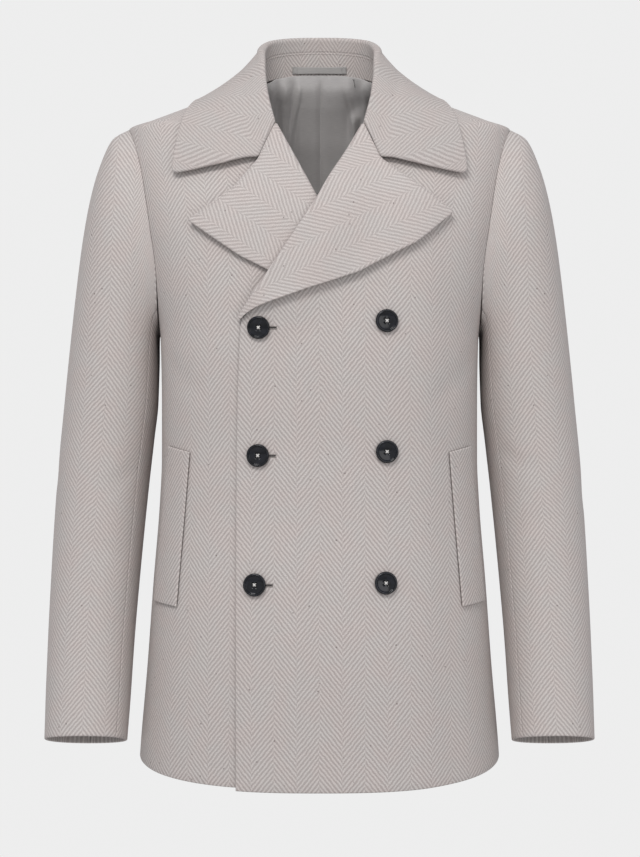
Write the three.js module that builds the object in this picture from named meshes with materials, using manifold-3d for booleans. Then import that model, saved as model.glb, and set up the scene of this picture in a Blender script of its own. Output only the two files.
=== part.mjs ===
// Short double-breasted coat of heavy herringbone wool: two fronts, a plain back, two-piece sleeves,
// broad lapels, a fall collar on a stand, slanted pocket welts, six buttons, a satin back lining and
// a hanger loop. Millimetres, +Z up. The front faces -Y and +X is the wearer's left. The origin is
// the middle of the neck at the height of the points where shoulder seam and neckline meet.
import * as THREE from "three";
import Module from "manifold-3d";

// Cloth and seams
const CLOTH = 3.0;
const COLLAR_CLOTH = 3.5;
const SLEEVE_CLOTH = 2.8;
const LINING_CLOTH = 1.0;
const LINING_GAP = 3.2;
const SEAM_GAP = 0.4;
const ROLL_GAP = 1.0;
const NECK_INSET = 2.6;
const GORGE_GAP = 2.3;
const SLEEVE_SEAM_ANGLE = 0.009;

// Lengths of the body
const HEM_SIDE_Z = -773;
const HEM_DROP_OVER = 27;
const HEM_DROP_UNDER = 23.5;
const HEM_CURVE = 1.4;
const UNDERARM_Z = -290;
const SHOULDER_Z = -55;
const NECK_POINT_X = 75;
const FRONT_EDGE_X = 91.5;
const ROLL_END_Z = -280;

// Half the armhole's depth from front to back
const ARMHOLE_HALF_DEPTH = 78;

// The upper front lies over the under front
const OVERLAP_LIFT = 4.0;
const TUCK_LIFT = 6.0;

// Turned edges of lapels and collar
const FOLD_RADIUS = 2.5;
const EDGE_LIFT = 4.5;
const BACK_EDGE_HEIGHT = 3.4;
const END_FADE = 4;

// Level sections of the body: half width, depth to the front and to the back, and squareness
const SECTIONS = [
  { z: -806, half: 209, front: 153, back: 143, square: 2.7 },
  { z: -761, half: 206, front: 152, back: 143, square: 2.7 },
  { z: -668, half: 198, front: 151, back: 141, square: 2.7 },
  { z: -576, half: 191.4, front: 147, back: 131, square: 2.7 },
  { z: -483, half: 183.9, front: 142, back: 117, square: 2.75 },
  { z: -436, half: 181.7, front: 142, back: 112, square: 2.8 },
  { z: -367, half: 181.5, front: 146, back: 115, square: 2.9 },
  { z: -300, half: 182.6, front: 149, back: 124, square: 3.0 },
  { z: -237, half: 193, front: 148, back: 130, square: 3.0 },
  { z: -188, half: 201.5, front: 143, back: 132, square: 3.0 },
  { z: -151, half: 208.5, front: 135, back: 130, square: 2.85 },
  { z: -113, half: 215, front: 120, back: 123, square: 2.65 },
  { z: -80, half: 219.5, front: 104, back: 112, square: 2.45 },
  { z: -55, half: 220.5, front: 91, back: 101, square: 2.3 },
  { z: -45, half: 195, front: 86, back: 97, square: 2.25 },
  { z: -30, half: 155, front: 78, back: 90, square: 2.2 },
  { z: -12, half: 107, front: 67, back: 80, square: 2.1 },
  { z: 0, half: 75, front: 58, back: 71, square: 2.1 },
  { z: 17, half: 69, front: 50, back: 64, square: 2.1 },
  { z: 70, half: 66, front: 45, back: 60, square: 2.1 },
];

// Slanting rings of the sleeve: outer and inner point seen from the front, half depth, middle, tilt
const SLEEVE_RINGS = [
  { outX: 221, outZ: -55, inX: 183.5, inZ: -290, depth: 79, midY: 0, tilt: 0 },
  { outX: 238, outZ: -64.5, inX: 186.5, inZ: -301, depth: 79, midY: 0, tilt: 0 },
  { outX: 253, outZ: -95, inX: 186.5, inZ: -313, depth: 78, midY: 0, tilt: 0 },
  { outX: 264, outZ: -133, inX: 186.5, inZ: -326, depth: 76.5, midY: 0, tilt: 0 },
  { outX: 273, outZ: -181, inX: 186.8, inZ: -343, depth: 75, midY: 0, tilt: 0 },
  { outX: 284, outZ: -268, inX: 187.5, inZ: -373, depth: 72, midY: -1, tilt: 0 },
  { outX: 294.5, outZ: -367, inX: 192, inZ: -415, depth: 69, midY: -1, tilt: 1 },
  { outX: 303, outZ: -460, inX: 198, inZ: -470, depth: 66, midY: -4, tilt: 4 },
  { outX: 308, outZ: -552, inX: 205.5, inZ: -551, depth: 61, midY: -14, tilt: 7 },
  { outX: 311, outZ: -642, inX: 212.4, inZ: -642, depth: 56, midY: -30, tilt: 10 },
  { outX: 312, outZ: -712, inX: 216, inZ: -712, depth: 52.5, midY: -47, tilt: 12 },
  { outX: 312, outZ: -753.5, inX: 218.5, inZ: -753.5, depth: 50.5, midY: -59, tilt: 12 },
];
const SLEEVE_SQUARE = 2.15;

// Half of the neck seam and of the collar's roll, from the gorge to the back, mirrored for the rest
const NECK_SEAM = [
  { x: 53, y: -92, z: -60 },
  { x: 62, y: -73, z: -33 },
  { x: 68.5, y: -52, z: -14 },
  { x: 73, y: -27, z: -3 },
  { x: 75, y: 0, z: 0 },
  { x: 70, y: 28, z: 5 },
  { x: 54, y: 48, z: 11.5 },
  { x: 29, y: 61, z: 15.5 },
  { x: 0, y: 64, z: 17 },
];
const COLLAR_ROLL = [
  { x: 51.3, y: -97, z: -60 },
  { x: 60, y: -78, z: -28 },
  { x: 64, y: -57, z: -2 },
  { x: 65.5, y: -34, z: 19 },
  { x: 66.5, y: -12, z: 32 },
  { x: 65.5, y: 10, z: 41 },
  { x: 59.5, y: 30, z: 49.5 },
  { x: 44, y: 47, z: 55 },
  { x: 23, y: 57, z: 58 },
  { x: 0, y: 60, z: 58.7 },
];
const COLLAR_EDGE = [
  { x: 160.5, y: -92, z: -115.5 },
  { x: 159.5, y: -84, z: -80 },
  { x: 152, y: -66, z: -52 },
  { x: 144, y: -38, z: -34 },
  { x: 139, y: 0, z: -24 },
  { x: 127, y: 32, z: -26 },
  { x: 104, y: 58, z: -25 },
  { x: 72, y: 75, z: -19 },
  { x: 36, y: 84, z: -15 },
  { x: 0, y: 86, z: -13 },
];
// Collar end seen from the front: gorge seam to the notch, then the free edge to the point
const COLLAR_END = [
  { x: 51.3, z: -60 },
  { x: 59.5, z: -79 },
  { x: 68, z: -98.5 },
  { x: 81, z: -100 },
  { x: 108, z: -106.5 },
  { x: 138, z: -112.3 },
  { x: 160.5, z: -115.5 },
];

// Lapels seen from the front, x towards the side that the lapel turns to
const LAPEL_LEFT = {
  roll: [{ x: 51.3, z: -60 }, { x: 0.8, z: -144 }, { x: -86, z: -280 }],
  top: [
    { x: 51.3, z: -60 }, { x: 60, z: -80 }, { x: 70, z: -101 },
    { x: 105, z: -129 }, { x: 147.5, z: -160.5 },
  ],
  free: [
    { x: 147.5, z: -160.5 }, { x: 105, z: -196 }, { x: 43, z: -229 },
    { x: -12.6, z: -247.5 }, { x: -57.4, z: -265.4 }, { x: -79, z: -275 },
  ],
};
const LAPEL_RIGHT = {
  roll: [{ x: 51.3, z: -60 }, { x: -3.1, z: -162.7 }],
  top: [
    { x: 51.3, z: -60 }, { x: 60, z: -80 }, { x: 69, z: -101.5 },
    { x: 95, z: -134 }, { x: 144.2, z: -170 },
  ],
  free: [
    { x: 144.2, z: -170 }, { x: 87.3, z: -210.6 },
    { x: 55.6, z: -226.7 }, { x: 41.3, z: -233.9 },
  ],
};
// The stretch below the upper front where the under lapel is tucked
const TUCK_LINE = [{ x: -1, z: -146 }, { x: -46, z: -232 }];

// Pocket welt seen from the front, and button places
const WELT = {
  topOuter: { x: 168.5, z: -419.7 },
  topInner: { x: 143.5, z: -426.2 },
  bottomInner: { x: 158.4, z: -599 },
  bottomOuter: { x: 185.5, z: -595.2 },
  thick: 2.6,
  gap: 0.5,
};
const BUTTONS = [
  { x: -66.0, z: -289.0 },
  { x: -67.0, z: -429.6 },
  { x: -70.5, z: -572.2 },
  { x: 73.2, z: -281.7 },
  { x: 73.4, z: -425.2 },
  { x: 72.1, z: -570.2 },
];
const BUTTON = { radius: 12.7, holeRadius: 1.15, holeSpacing: 2.6, depth: 4.4 };
const LOOP = { half: 32, height: 9, thick: 1.2, z: 18, wallRadius: 73 };

// Numbers of faces
const SEAM_ROWS = 11;
const ARMHOLE_ROWS = 14;
const FRONT_COLUMNS = 13;
const SHOULDER_COLUMNS = 6;
const NECK_COLUMNS = 8;
const FRONT_SEAM_STEP = 11;
const BACK_SEAM_STEP = 7;
const EVEN_ROUNDS = 80;
const STAND_START = 7;
const RING_PLACES = [0, 0.5, 1, 1.6, 2.3, 3, 4, 5, 6, 7, 8, 9, 10, 11];

// Colours
const CLOTH_LOOK = { color: 0xbfb7b0, roughness: 0.95, metalness: 0 };
const SATIN_LOOK = { color: 0x8f8b85, roughness: 0.4, metalness: 0 };
const BUTTON_LOOK = { color: 0x1b1c22, roughness: 0.25, metalness: 0 };

const coat = new THREE.Group();
coat.name = "coat";

// Smooth monotone curve through a table's column
function columnCurve(rows, key, at) {
  const n = rows.length;
  const step = [];
  const slope = [];
  for (let i = 0; i < n - 1; i++) {
    step.push(rows[i + 1][at] - rows[i][at]);
    slope.push((rows[i + 1][key] - rows[i][key]) / step[i]);
  }
  const tangent = rows.map((_, i) => {
    if (i === 0) return slope[0];
    if (i === n - 1) return slope[n - 2];
    if (slope[i - 1] * slope[i] <= 0) return 0;
    const a = 2 * step[i] + step[i - 1];
    const b = step[i] + 2 * step[i - 1];
    return (a + b) / (a / slope[i - 1] + b / slope[i]);
  });
  return (value) => {
    const t = THREE.MathUtils.clamp(value, rows[0][at], rows[n - 1][at]);
    let i = 0;
    while (i < n - 2 && t > rows[i + 1][at]) i++;
    const h = step[i];
    const u = (t - rows[i][at]) / h;
    const u2 = u * u;
    const u3 = u2 * u;
    return (
      (2 * u3 - 3 * u2 + 1) * rows[i][key] +
      (u3 - 2 * u2 + u) * h * tangent[i] +
      (3 * u2 - 2 * u3) * rows[i + 1][key] +
      (u3 - u2) * h * tangent[i + 1]
    );
  };
}

const halfAt = columnCurve(SECTIONS, "half", "z");
const frontAt = columnCurve(SECTIONS, "front", "z");
const backAt = columnCurve(SECTIONS, "back", "z");
const squareAt = columnCurve(SECTIONS, "square", "z");

const vec = (x, y, z) => new THREE.Vector3(x, y, z);
const smooth = (a, b, t) => THREE.MathUtils.smoothstep(t, a, b);
const lerp = THREE.MathUtils.lerp;

// 1 on the body's surface, less inside and more outside
function bodyRatio(x, y, z) {
  const n = squareAt(z);
  const depth = y < 0 ? frontAt(z) : backAt(z);
  const sum = Math.pow(Math.abs(x) / halfAt(z), n) + Math.pow(Math.abs(y) / depth, n);
  return Math.pow(sum, 1 / n);
}

function bodySlope(p) {
  const d = 0.4;
  return vec(
    bodyRatio(p.x + d, p.y, p.z) - bodyRatio(p.x - d, p.y, p.z),
    bodyRatio(p.x, p.y + d, p.z) - bodyRatio(p.x, p.y - d, p.z),
    bodyRatio(p.x, p.y, p.z + d) - bodyRatio(p.x, p.y, p.z - d),
  ).divideScalar(2 * d);
}

// Nearest point of the body's surface, found by steps along the slope
function toBody(point, steps = 12) {
  const p = point.clone();
  for (let i = 0; i < steps; i++) {
    const g = bodySlope(p);
    p.addScaledVector(g, (1 - bodyRatio(p.x, p.y, p.z)) / g.lengthSq());
  }
  return p;
}

const bodyNormal = (p) => bodySlope(p).normalize();

// Keeps a point at least the given distance outside the body's surface
function clearOfBody(point, distance) {
  const p = point.clone();
  for (let i = 0; i < 4; i++) {
    const g = bodySlope(p);
    const away = (bodyRatio(p.x, p.y, p.z) - 1) / g.length();
    if (away >= distance) break;
    p.addScaledVector(g.normalize(), distance - away);
  }
  return p;
}

// Point of the body's front with the given place in the front view
function frontPoint(x, z) {
  const n = squareAt(z);
  const across = Math.min(1, Math.pow(Math.abs(x) / halfAt(z), n));
  return vec(x, -frontAt(z) * Math.pow(1 - across, 1 / n), z);
}

function frontPlace(x, z, height) {
  const p = frontPoint(x, z);
  return p.addScaledVector(bodyNormal(p), height);
}

// How far the upper front's face stands off the body's surface
function overlapLift(x, z) {
  const wide = 1 - smooth(104, 152, x);
  const tall = 1 - smooth(-142, -96, z);
  const a = vec(TUCK_LINE[0].x, 0, TUCK_LINE[0].z);
  const b = vec(TUCK_LINE[1].x, 0, TUCK_LINE[1].z);
  const near = new THREE.Line3(a, b).closestPointToPoint(vec(x, 0, z), true, vec(0, 0, 0));
  const tuck = 1 - smooth(24, 74, near.distanceTo(vec(x, 0, z)));
  return OVERLAP_LIFT * wide * tall + TUCK_LIFT * tuck;
}

// Even steps along a smooth curve or a straight-sided line of points
function evenSteps(points, count, curved = true, bias = 1) {
  const path = curved
    ? new THREE.CatmullRomCurve3(points, false, "centripetal")
    : points.slice(1).reduce((all, p, i) => {
        all.add(new THREE.LineCurve3(points[i], p));
        return all;
      }, new THREE.CurvePath());
  path.arcLengthDivisions = 400;
  return Array.from({ length: count + 1 }, (_, i) => path.getPointAt(Math.pow(i / count, bias)));
}

// Surface through four borders: bottom and top run across, left and right run up
function fillBorders(bottom, top, left, right) {
  const columns = bottom.length - 1;
  const rows = left.length - 1;
  return left.map((_, j) =>
    bottom.map((__, i) => {
      const u = i / columns;
      const v = j / rows;
      const p = vec(0, 0, 0);
      p.addScaledVector(bottom[i], 1 - v).addScaledVector(top[i], v);
      p.addScaledVector(left[j], 1 - u).addScaledVector(right[j], u);
      p.addScaledVector(bottom[0], -(1 - u) * (1 - v)).addScaledVector(bottom[columns], -u * (1 - v));
      p.addScaledVector(top[0], -(1 - u) * v).addScaledVector(top[columns], -u * v);
      return p;
    }),
  );
}

// Evens out the cells of a grid whose borders are fixed and whose points lie on the body
function evenOnBody(start, rounds) {
  let grid = start;
  for (let k = 0; k < rounds; k++) {
    grid = grid.map((row, j) =>
      row.map((p, i) => {
        if (i === 0 || j === 0 || i === row.length - 1 || j === grid.length - 1) return p;
        const sum = vec(0, 0, 0).add(row[i - 1]).add(row[i + 1]).add(grid[j - 1][i]).add(grid[j + 1][i]);
        return toBody(sum.divideScalar(4), 2);
      }),
    );
  }
  return grid;
}

// Closed wall between two faces that are given as rows of points
function wallGeometry(outer, inner) {
  const rows = outer.length;
  const columns = outer[0].length;
  const points = [...outer.flat(), ...inner.flat()];
  const at = (side, j, i) => side * rows * columns + j * columns + i;
  const faces = [];
  const quad = (a, b, c, d) => faces.push(a, b, c, a, c, d);
  for (let j = 0; j < rows - 1; j++) {
    for (let i = 0; i < columns - 1; i++) {
      quad(at(0, j, i), at(0, j, i + 1), at(0, j + 1, i + 1), at(0, j + 1, i));
      quad(at(1, j, i), at(1, j + 1, i), at(1, j + 1, i + 1), at(1, j, i + 1));
    }
    quad(at(0, j, 0), at(0, j + 1, 0), at(1, j + 1, 0), at(1, j, 0));
    quad(at(0, j + 1, columns - 1), at(0, j, columns - 1), at(1, j, columns - 1), at(1, j + 1, columns - 1));
  }
  for (let i = 0; i < columns - 1; i++) {
    quad(at(0, 0, i + 1), at(0, 0, i), at(1, 0, i), at(1, 0, i + 1));
    quad(at(0, rows - 1, i), at(0, rows - 1, i + 1), at(1, rows - 1, i + 1), at(1, rows - 1, i));
  }
  let volume = 0;
  for (let f = 0; f < faces.length; f += 3) {
    volume += points[faces[f]].dot(points[faces[f + 1]].clone().cross(points[faces[f + 2]]));
  }
  const geometry = new THREE.BufferGeometry().setFromPoints(points);
  geometry.setIndex(volume < 0 ? faces.reverse() : faces);
  geometry.computeVertexNormals();
  return geometry;
}

function addPiece(name, geometry, look) {
  const mesh = new THREE.Mesh(geometry, new THREE.MeshStandardMaterial(look));
  mesh.name = name;
  coat.add(mesh);
  return mesh;
}

// Normals of a surface that is given as rows of points
function gridNormals(grid) {
  const rows = grid.length;
  const columns = grid[0].length;
  return grid.map((row, j) =>
    row.map((_, i) => {
      const across = vec(0, 0, 0).subVectors(row[Math.min(i + 1, columns - 1)], row[Math.max(i - 1, 0)]);
      const along = vec(0, 0, 0).subVectors(grid[Math.min(j + 1, rows - 1)][i], grid[Math.max(j - 1, 0)][i]);
      return across.cross(along).normalize();
    }),
  );
}

// Wall of even thickness about a middle surface
function thickSheet(grid, thickness, normals = gridNormals(grid)) {
  const shifted = (side) =>
    grid.map((row, j) => row.map((p, i) => p.clone().addScaledVector(normals[j][i], (side * thickness) / 2)));
  return wallGeometry(shifted(1), shifted(-1));
}

// Wall whose outer face stands off the body by a height that may vary over it
function bodySheet(grid, heightAt, thickness) {
  const faces = [0, thickness].map((below) =>
    grid.map((row) => row.map((p) => p.clone().addScaledVector(bodyNormal(p), heightAt(p) - below))),
  );
  return wallGeometry(faces[0], faces[1]);
}

// Armhole point: angle 0 at the shoulder, PI at the underarm; face -1 is the front half, 1 the back
function armholePoint(side, angle, face) {
  const middleZ = (SHOULDER_Z + UNDERARM_Z) / 2;
  const halfHeight = (SHOULDER_Z - UNDERARM_Z) / 2;
  const reach = Math.pow(Math.max(0, Math.sin(angle)), 0.85) * (1 - 0.25 * Math.cos(angle));
  const y = face * ARMHOLE_HALF_DEPTH * reach;
  const z = middleZ + halfHeight * Math.cos(angle);
  const n = squareAt(z);
  const depth = y < 0 ? frontAt(z) : backAt(z);
  const x = halfAt(z) * Math.pow(1 - Math.pow(Math.abs(y) / depth, n), 1 / n);
  return vec(side * x, y, z);
}

// Side seam and armhole from the hem to the shoulder point
function sideBorder(side, face) {
  const border = [];
  const shift = (face * SEAM_GAP) / 2;
  for (let j = 0; j < SEAM_ROWS; j++) {
    const z = lerp(HEM_SIDE_Z, UNDERARM_Z, j / SEAM_ROWS);
    border.push(vec(side * halfAt(z), shift, z));
  }
  for (let j = 0; j <= ARMHOLE_ROWS; j++) {
    const p = armholePoint(side, Math.PI * (1 - j / ARMHOLE_ROWS), face);
    if (j === 0 || j === ARMHOLE_ROWS) p.y = shift;
    border.push(p);
  }
  return border;
}

// Hem from the side seam to the given x, on the front (face -1) or on the back (face 1)
function hemBorder(side, face, endX, drop, count, bias) {
  const fine = [];
  const n = squareAt(HEM_SIDE_Z);
  const half = halfAt(HEM_SIDE_Z);
  const depth = face < 0 ? frontAt(HEM_SIDE_Z) : backAt(HEM_SIDE_Z);
  for (let k = 0; k <= 120; k++) {
    const angle = (Math.PI * k) / 120;
    const x = side * half * Math.sign(Math.cos(angle)) * Math.pow(Math.abs(Math.cos(angle)), 2 / n);
    if (side * x < side * endX) break;
    const share = Math.pow(Math.sin(angle), 2 / n);
    fine.push(toBody(vec(x, face * depth * share, HEM_SIDE_Z - drop * Math.pow(share, HEM_CURVE))));
  }
  fine[0].y = (face * SEAM_GAP) / 2;
  const endShare = Math.pow(1 - Math.pow(Math.abs(endX) / half, n), 1 / n);
  const endZ = HEM_SIDE_Z - drop * Math.pow(endShare, HEM_CURVE);
  fine[fine.length - 1] = toBody(vec(endX, face * depth * endShare, endZ));
  return evenSteps(fine, count, true, bias);
}

// Shoulder seam from the shoulder point to the neck point
function shoulderBorder(side, face, count, bias) {
  const line = [vec(side * halfAt(SHOULDER_Z), 0, SHOULDER_Z), vec(side * NECK_POINT_X, 0, 0)];
  return evenSteps(line, count, false, bias).map((p) => {
    const seam = toBody(p);
    seam.y = (face * SEAM_GAP) / 2;
    return seam;
  });
}

// Neck seam from the gorge to the neck point, lying on the body, clear of the collar near the gorge
function frontNeck(side) {
  return NECK_SEAM.slice(0, 5).map((p, i) => toBody(vec(side * (p.x + NECK_INSET * (1 - i / 4)), p.y, p.z)));
}

const onSide = (points, side) => points.map((p) => vec(side * p.x, 0, p.z));

// One front: from its side seam to its front edge, roll line and neck seam
function makeFront(name, side, roll, hemDrop, heightAt) {
  const left = sideBorder(side, -1);
  const bottom = hemBorder(side, -1, -side * FRONT_EDGE_X, hemDrop, FRONT_COLUMNS, 1.2);
  const top = shoulderBorder(side, -1, FRONT_COLUMNS, 1.2);
  const corner = bottom[FRONT_COLUMNS];
  const rollEnd = roll[roll.length - 1];
  const edgeX = side * rollEnd.x;
  const edge = [];
  for (let j = 0; j < SEAM_ROWS; j++) {
    const share = j / SEAM_ROWS;
    edge.push(frontPoint(lerp(corner.x, edgeX, Math.pow(share, 6)), lerp(corner.z, rollEnd.z, share)));
  }
  const rollRows = 9;
  const rollLine = evenSteps(onSide([...roll].reverse(), side), rollRows, false).map((p) =>
    frontPoint(p.x + side * lerp(ROLL_GAP, NECK_INSET, smooth(-100, -60, p.z)), p.z),
  );
  const neck = evenSteps(frontNeck(side), ARMHOLE_ROWS - rollRows);
  const right = [...edge, ...rollLine, ...neck.slice(1)];
  bottom[FRONT_COLUMNS] = right[0];
  top[FRONT_COLUMNS] = right[right.length - 1];
  top[0] = left[left.length - 1];
  bottom[0] = left[0];
  right[right.length - 1].y = -SEAM_GAP / 2;
  const grid = evenOnBody(fillBorders(bottom, top, left, right), EVEN_ROUNDS);
  addPiece(name, bodySheet(grid, heightAt, CLOTH), CLOTH_LOOK);
}

// Points of the back, which its lining follows too
function backGrid() {
  const columns = 2 * SHOULDER_COLUMNS + NECK_COLUMNS;
  const left = sideBorder(-1, 1);
  const right = sideBorder(1, 1);
  const half = hemBorder(-1, 1, 0, 2, columns / 2, 1.1);
  const bottom = [...half, ...half.slice(0, -1).reverse().map((p) => vec(-p.x, p.y, p.z))];
  const shoulder = shoulderBorder(-1, 1, SHOULDER_COLUMNS, 1);
  const neckHalf = evenSteps(NECK_SEAM.slice(4).map((p) => toBody(vec(-p.x, p.y, p.z))), NECK_COLUMNS / 2);
  const topHalf = [...shoulder.slice(0, -1), ...neckHalf];
  topHalf[SHOULDER_COLUMNS].y = SEAM_GAP / 2;
  const top = [...topHalf, ...topHalf.slice(0, -1).reverse().map((p) => vec(-p.x, p.y, p.z))];
  top[0] = left[left.length - 1];
  top[columns] = right[right.length - 1];
  bottom[0] = left[0];
  bottom[columns] = right[0];
  return evenOnBody(fillBorders(bottom, top, left, right), EVEN_ROUNDS);
}

// Folds of the lining: a centre pleat and soft folds beside it
function liningFold(p) {
  const fade = smooth(-770, -500, p.z) * (1 - smooth(-20, 16, p.z));
  const pleat = 5 * Math.exp(-Math.pow(p.x / 9, 2));
  const waves = 2 * Math.sin(p.x / 11) * Math.exp(-Math.pow(p.x / 70, 2));
  return (pleat + waves) * fade;
}

function makeBack() {
  const grid = backGrid();
  addPiece("back", bodySheet(grid, () => 0, CLOTH), CLOTH_LOOK);
  const lining = grid.slice(1).map((row, j) =>
    row.map((p, i) => {
      const inward = i === 0 || i === row.length - 1 ? 2.5 : 0;
      const down = j === grid.length - 2 ? 1.5 : 0;
      return toBody(vec(p.x - Math.sign(p.x) * inward, p.y + inward, p.z - down));
    }),
  );
  const depthAt = (p) => -CLOTH - LINING_GAP - liningFold(p);
  addPiece("back_lining", bodySheet(lining, depthAt, LINING_CLOTH), SATIN_LOOK);
}

// Middle surface of the sleeve's wall at a ring position (0 at the armhole) and an angle round it
const sleeveCurves = Object.fromEntries(
  ["outX", "outZ", "inX", "inZ", "depth", "midY", "tilt"].map((key) => [
    key,
    columnCurve(SLEEVE_RINGS.map((row, index) => ({ ...row, index })), key, "index"),
  ]),
);

function sleeveRing(side, ring, angle) {
  const c = Object.fromEntries(Object.entries(sleeveCurves).map(([key, curve]) => [key, curve(ring)]));
  const power = 2 / SLEEVE_SQUARE;
  const out = Math.sign(Math.cos(angle)) * Math.pow(Math.abs(Math.cos(angle)), power);
  const front = Math.sign(Math.sin(angle)) * Math.pow(Math.abs(Math.sin(angle)), power);
  const lean = THREE.MathUtils.degToRad(c.tilt);
  const wall = SLEEVE_CLOTH / 2;
  const halfX = (c.outX - c.inX) / 2;
  const halfZ = (c.outZ - c.inZ) / 2;
  const narrow = 1 - wall / Math.hypot(halfX, halfZ);
  return vec(
    side * ((c.outX + c.inX) / 2 + halfX * narrow * out),
    c.midY - (c.depth - wall) * front * Math.cos(lean),
    (c.outZ + c.inZ) / 2 + halfZ * narrow * out + (c.depth - wall) * front * Math.sin(lean),
  );
}

// Start of the sleeve: just outside the armhole's edge, standing a little proud of the body
function sleeveStart(side, angle) {
  const turned = angle > Math.PI ? angle - 2 * Math.PI : angle;
  const around = Math.abs(turned);
  const p = armholePoint(side, around, turned < 0 ? 1 : -1);
  const n = bodyNormal(p);
  const middle = vec(side * 205, 0, (SHOULDER_Z + UNDERARM_Z) / 2);
  const inHole = middle.sub(p);
  inHole.addScaledVector(n, -inHole.dot(n)).normalize();
  const under = smooth(0.62 * Math.PI, 0.9 * Math.PI, around);
  return p.addScaledVector(inHole, 1.7).addScaledVector(n, -0.6 + 2.9 * under);
}

function sleevePoint(side, ring, angle) {
  const p = sleeveRing(side, ring, angle);
  const keep = Math.pow(Math.max(0, 1 - ring / 3), 2);
  return p.add(sleeveStart(side, angle).sub(sleeveRing(side, 0, angle)).multiplyScalar(keep));
}

// Direction square to the sleeve's middle surface, the same for both pieces at a seam
function sleeveNormal(side, ring, angle) {
  const d = 0.02;
  const around = sleevePoint(side, ring, angle + d).sub(sleevePoint(side, ring, angle - d));
  const lower = sleevePoint(side, Math.min(SLEEVE_RINGS.length - 1, ring + d), angle);
  const down = lower.sub(sleevePoint(side, Math.max(0, ring - d), angle));
  return around.cross(down).normalize();
}

function makeSleeve(label, side) {
  const step = Math.PI / ARMHOLE_ROWS;
  const piece = (name, from, to) => {
    const angles = Array.from({ length: to - from + 1 }, (_, k) => {
      const trim = k === 0 ? SLEEVE_SEAM_ANGLE : k === to - from ? -SLEEVE_SEAM_ANGLE : 0;
      return (from + k) * step + trim;
    });
    const grid = RING_PLACES.map((ring) => angles.map((angle) => sleevePoint(side, ring, angle)));
    const normals = RING_PLACES.map((ring) => angles.map((angle) => sleeveNormal(side, ring, angle)));
    addPiece(name, thickSheet(grid, SLEEVE_CLOTH, normals), CLOTH_LOOK);
  };
  piece("sleeve_upper_" + label, -BACK_SEAM_STEP, FRONT_SEAM_STEP);
  piece("sleeve_under_" + label, FRONT_SEAM_STEP, 2 * ARMHOLE_ROWS - BACK_SEAM_STEP);
}

// Height of a turned leaf's middle above the layer below it
const leafHeight = (share) => 2 * FOLD_RADIUS - CLOTH / 2 + EDGE_LIFT * Math.pow(share, 1.5);

// A lapel: the fold at the roll line, then the leaf out to the free edge
function makeLapel(name, side, shape, layerAt, tucked) {
  const rows = 12;
  const columns = 8;
  const foldSteps = 4;
  const roll = evenSteps(onSide(shape.roll, side), rows, false);
  const free = evenSteps(onSide(shape.free, side), rows, false);
  const top = evenSteps(onSide(shape.top, side), columns, false);
  const end = evenSteps([roll[rows], free[rows]], columns, false);
  const leaf = fillBorders(top, end, roll, free);
  const grid = leaf.map((row, j) => {
    const along = j / rows;
    const after = roll[Math.min(j + 1, rows)].clone();
    const direction = after.sub(roll[Math.max(j - 1, 0)]).normalize();
    const turn = vec(-direction.z, 0, direction.x).multiplyScalar(side);
    const fold = [];
    for (let k = 0; k < foldSteps; k++) {
      const angle = lerp(-Math.PI / 2, Math.PI / 2, k / foldSteps);
      const p = row[0].clone().addScaledVector(turn, -FOLD_RADIUS * Math.cos(angle));
      const height = layerAt(row[0].x, row[0].z) - CLOTH / 2 + FOLD_RADIUS * (1 + Math.sin(angle));
      fold.push(frontPlace(p.x, p.z, height));
    }
    const flat = row.map((p, i) => {
      const share = i / columns;
      const lift = tucked ? share * (1 - along * along) : share;
      return frontPlace(p.x, p.z, layerAt(p.x, p.z) + leafHeight(lift));
    });
    return [...fold, ...flat];
  });
  // The top row stands clear of the collar's end
  grid[0] = grid[0].map((p, i) => p.addScaledVector(grid[1][i].clone().sub(p).normalize(), GORGE_GAP));
  addPiece(name, thickSheet(grid, COLLAR_CLOTH), CLOTH_LOOK);
}

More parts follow.
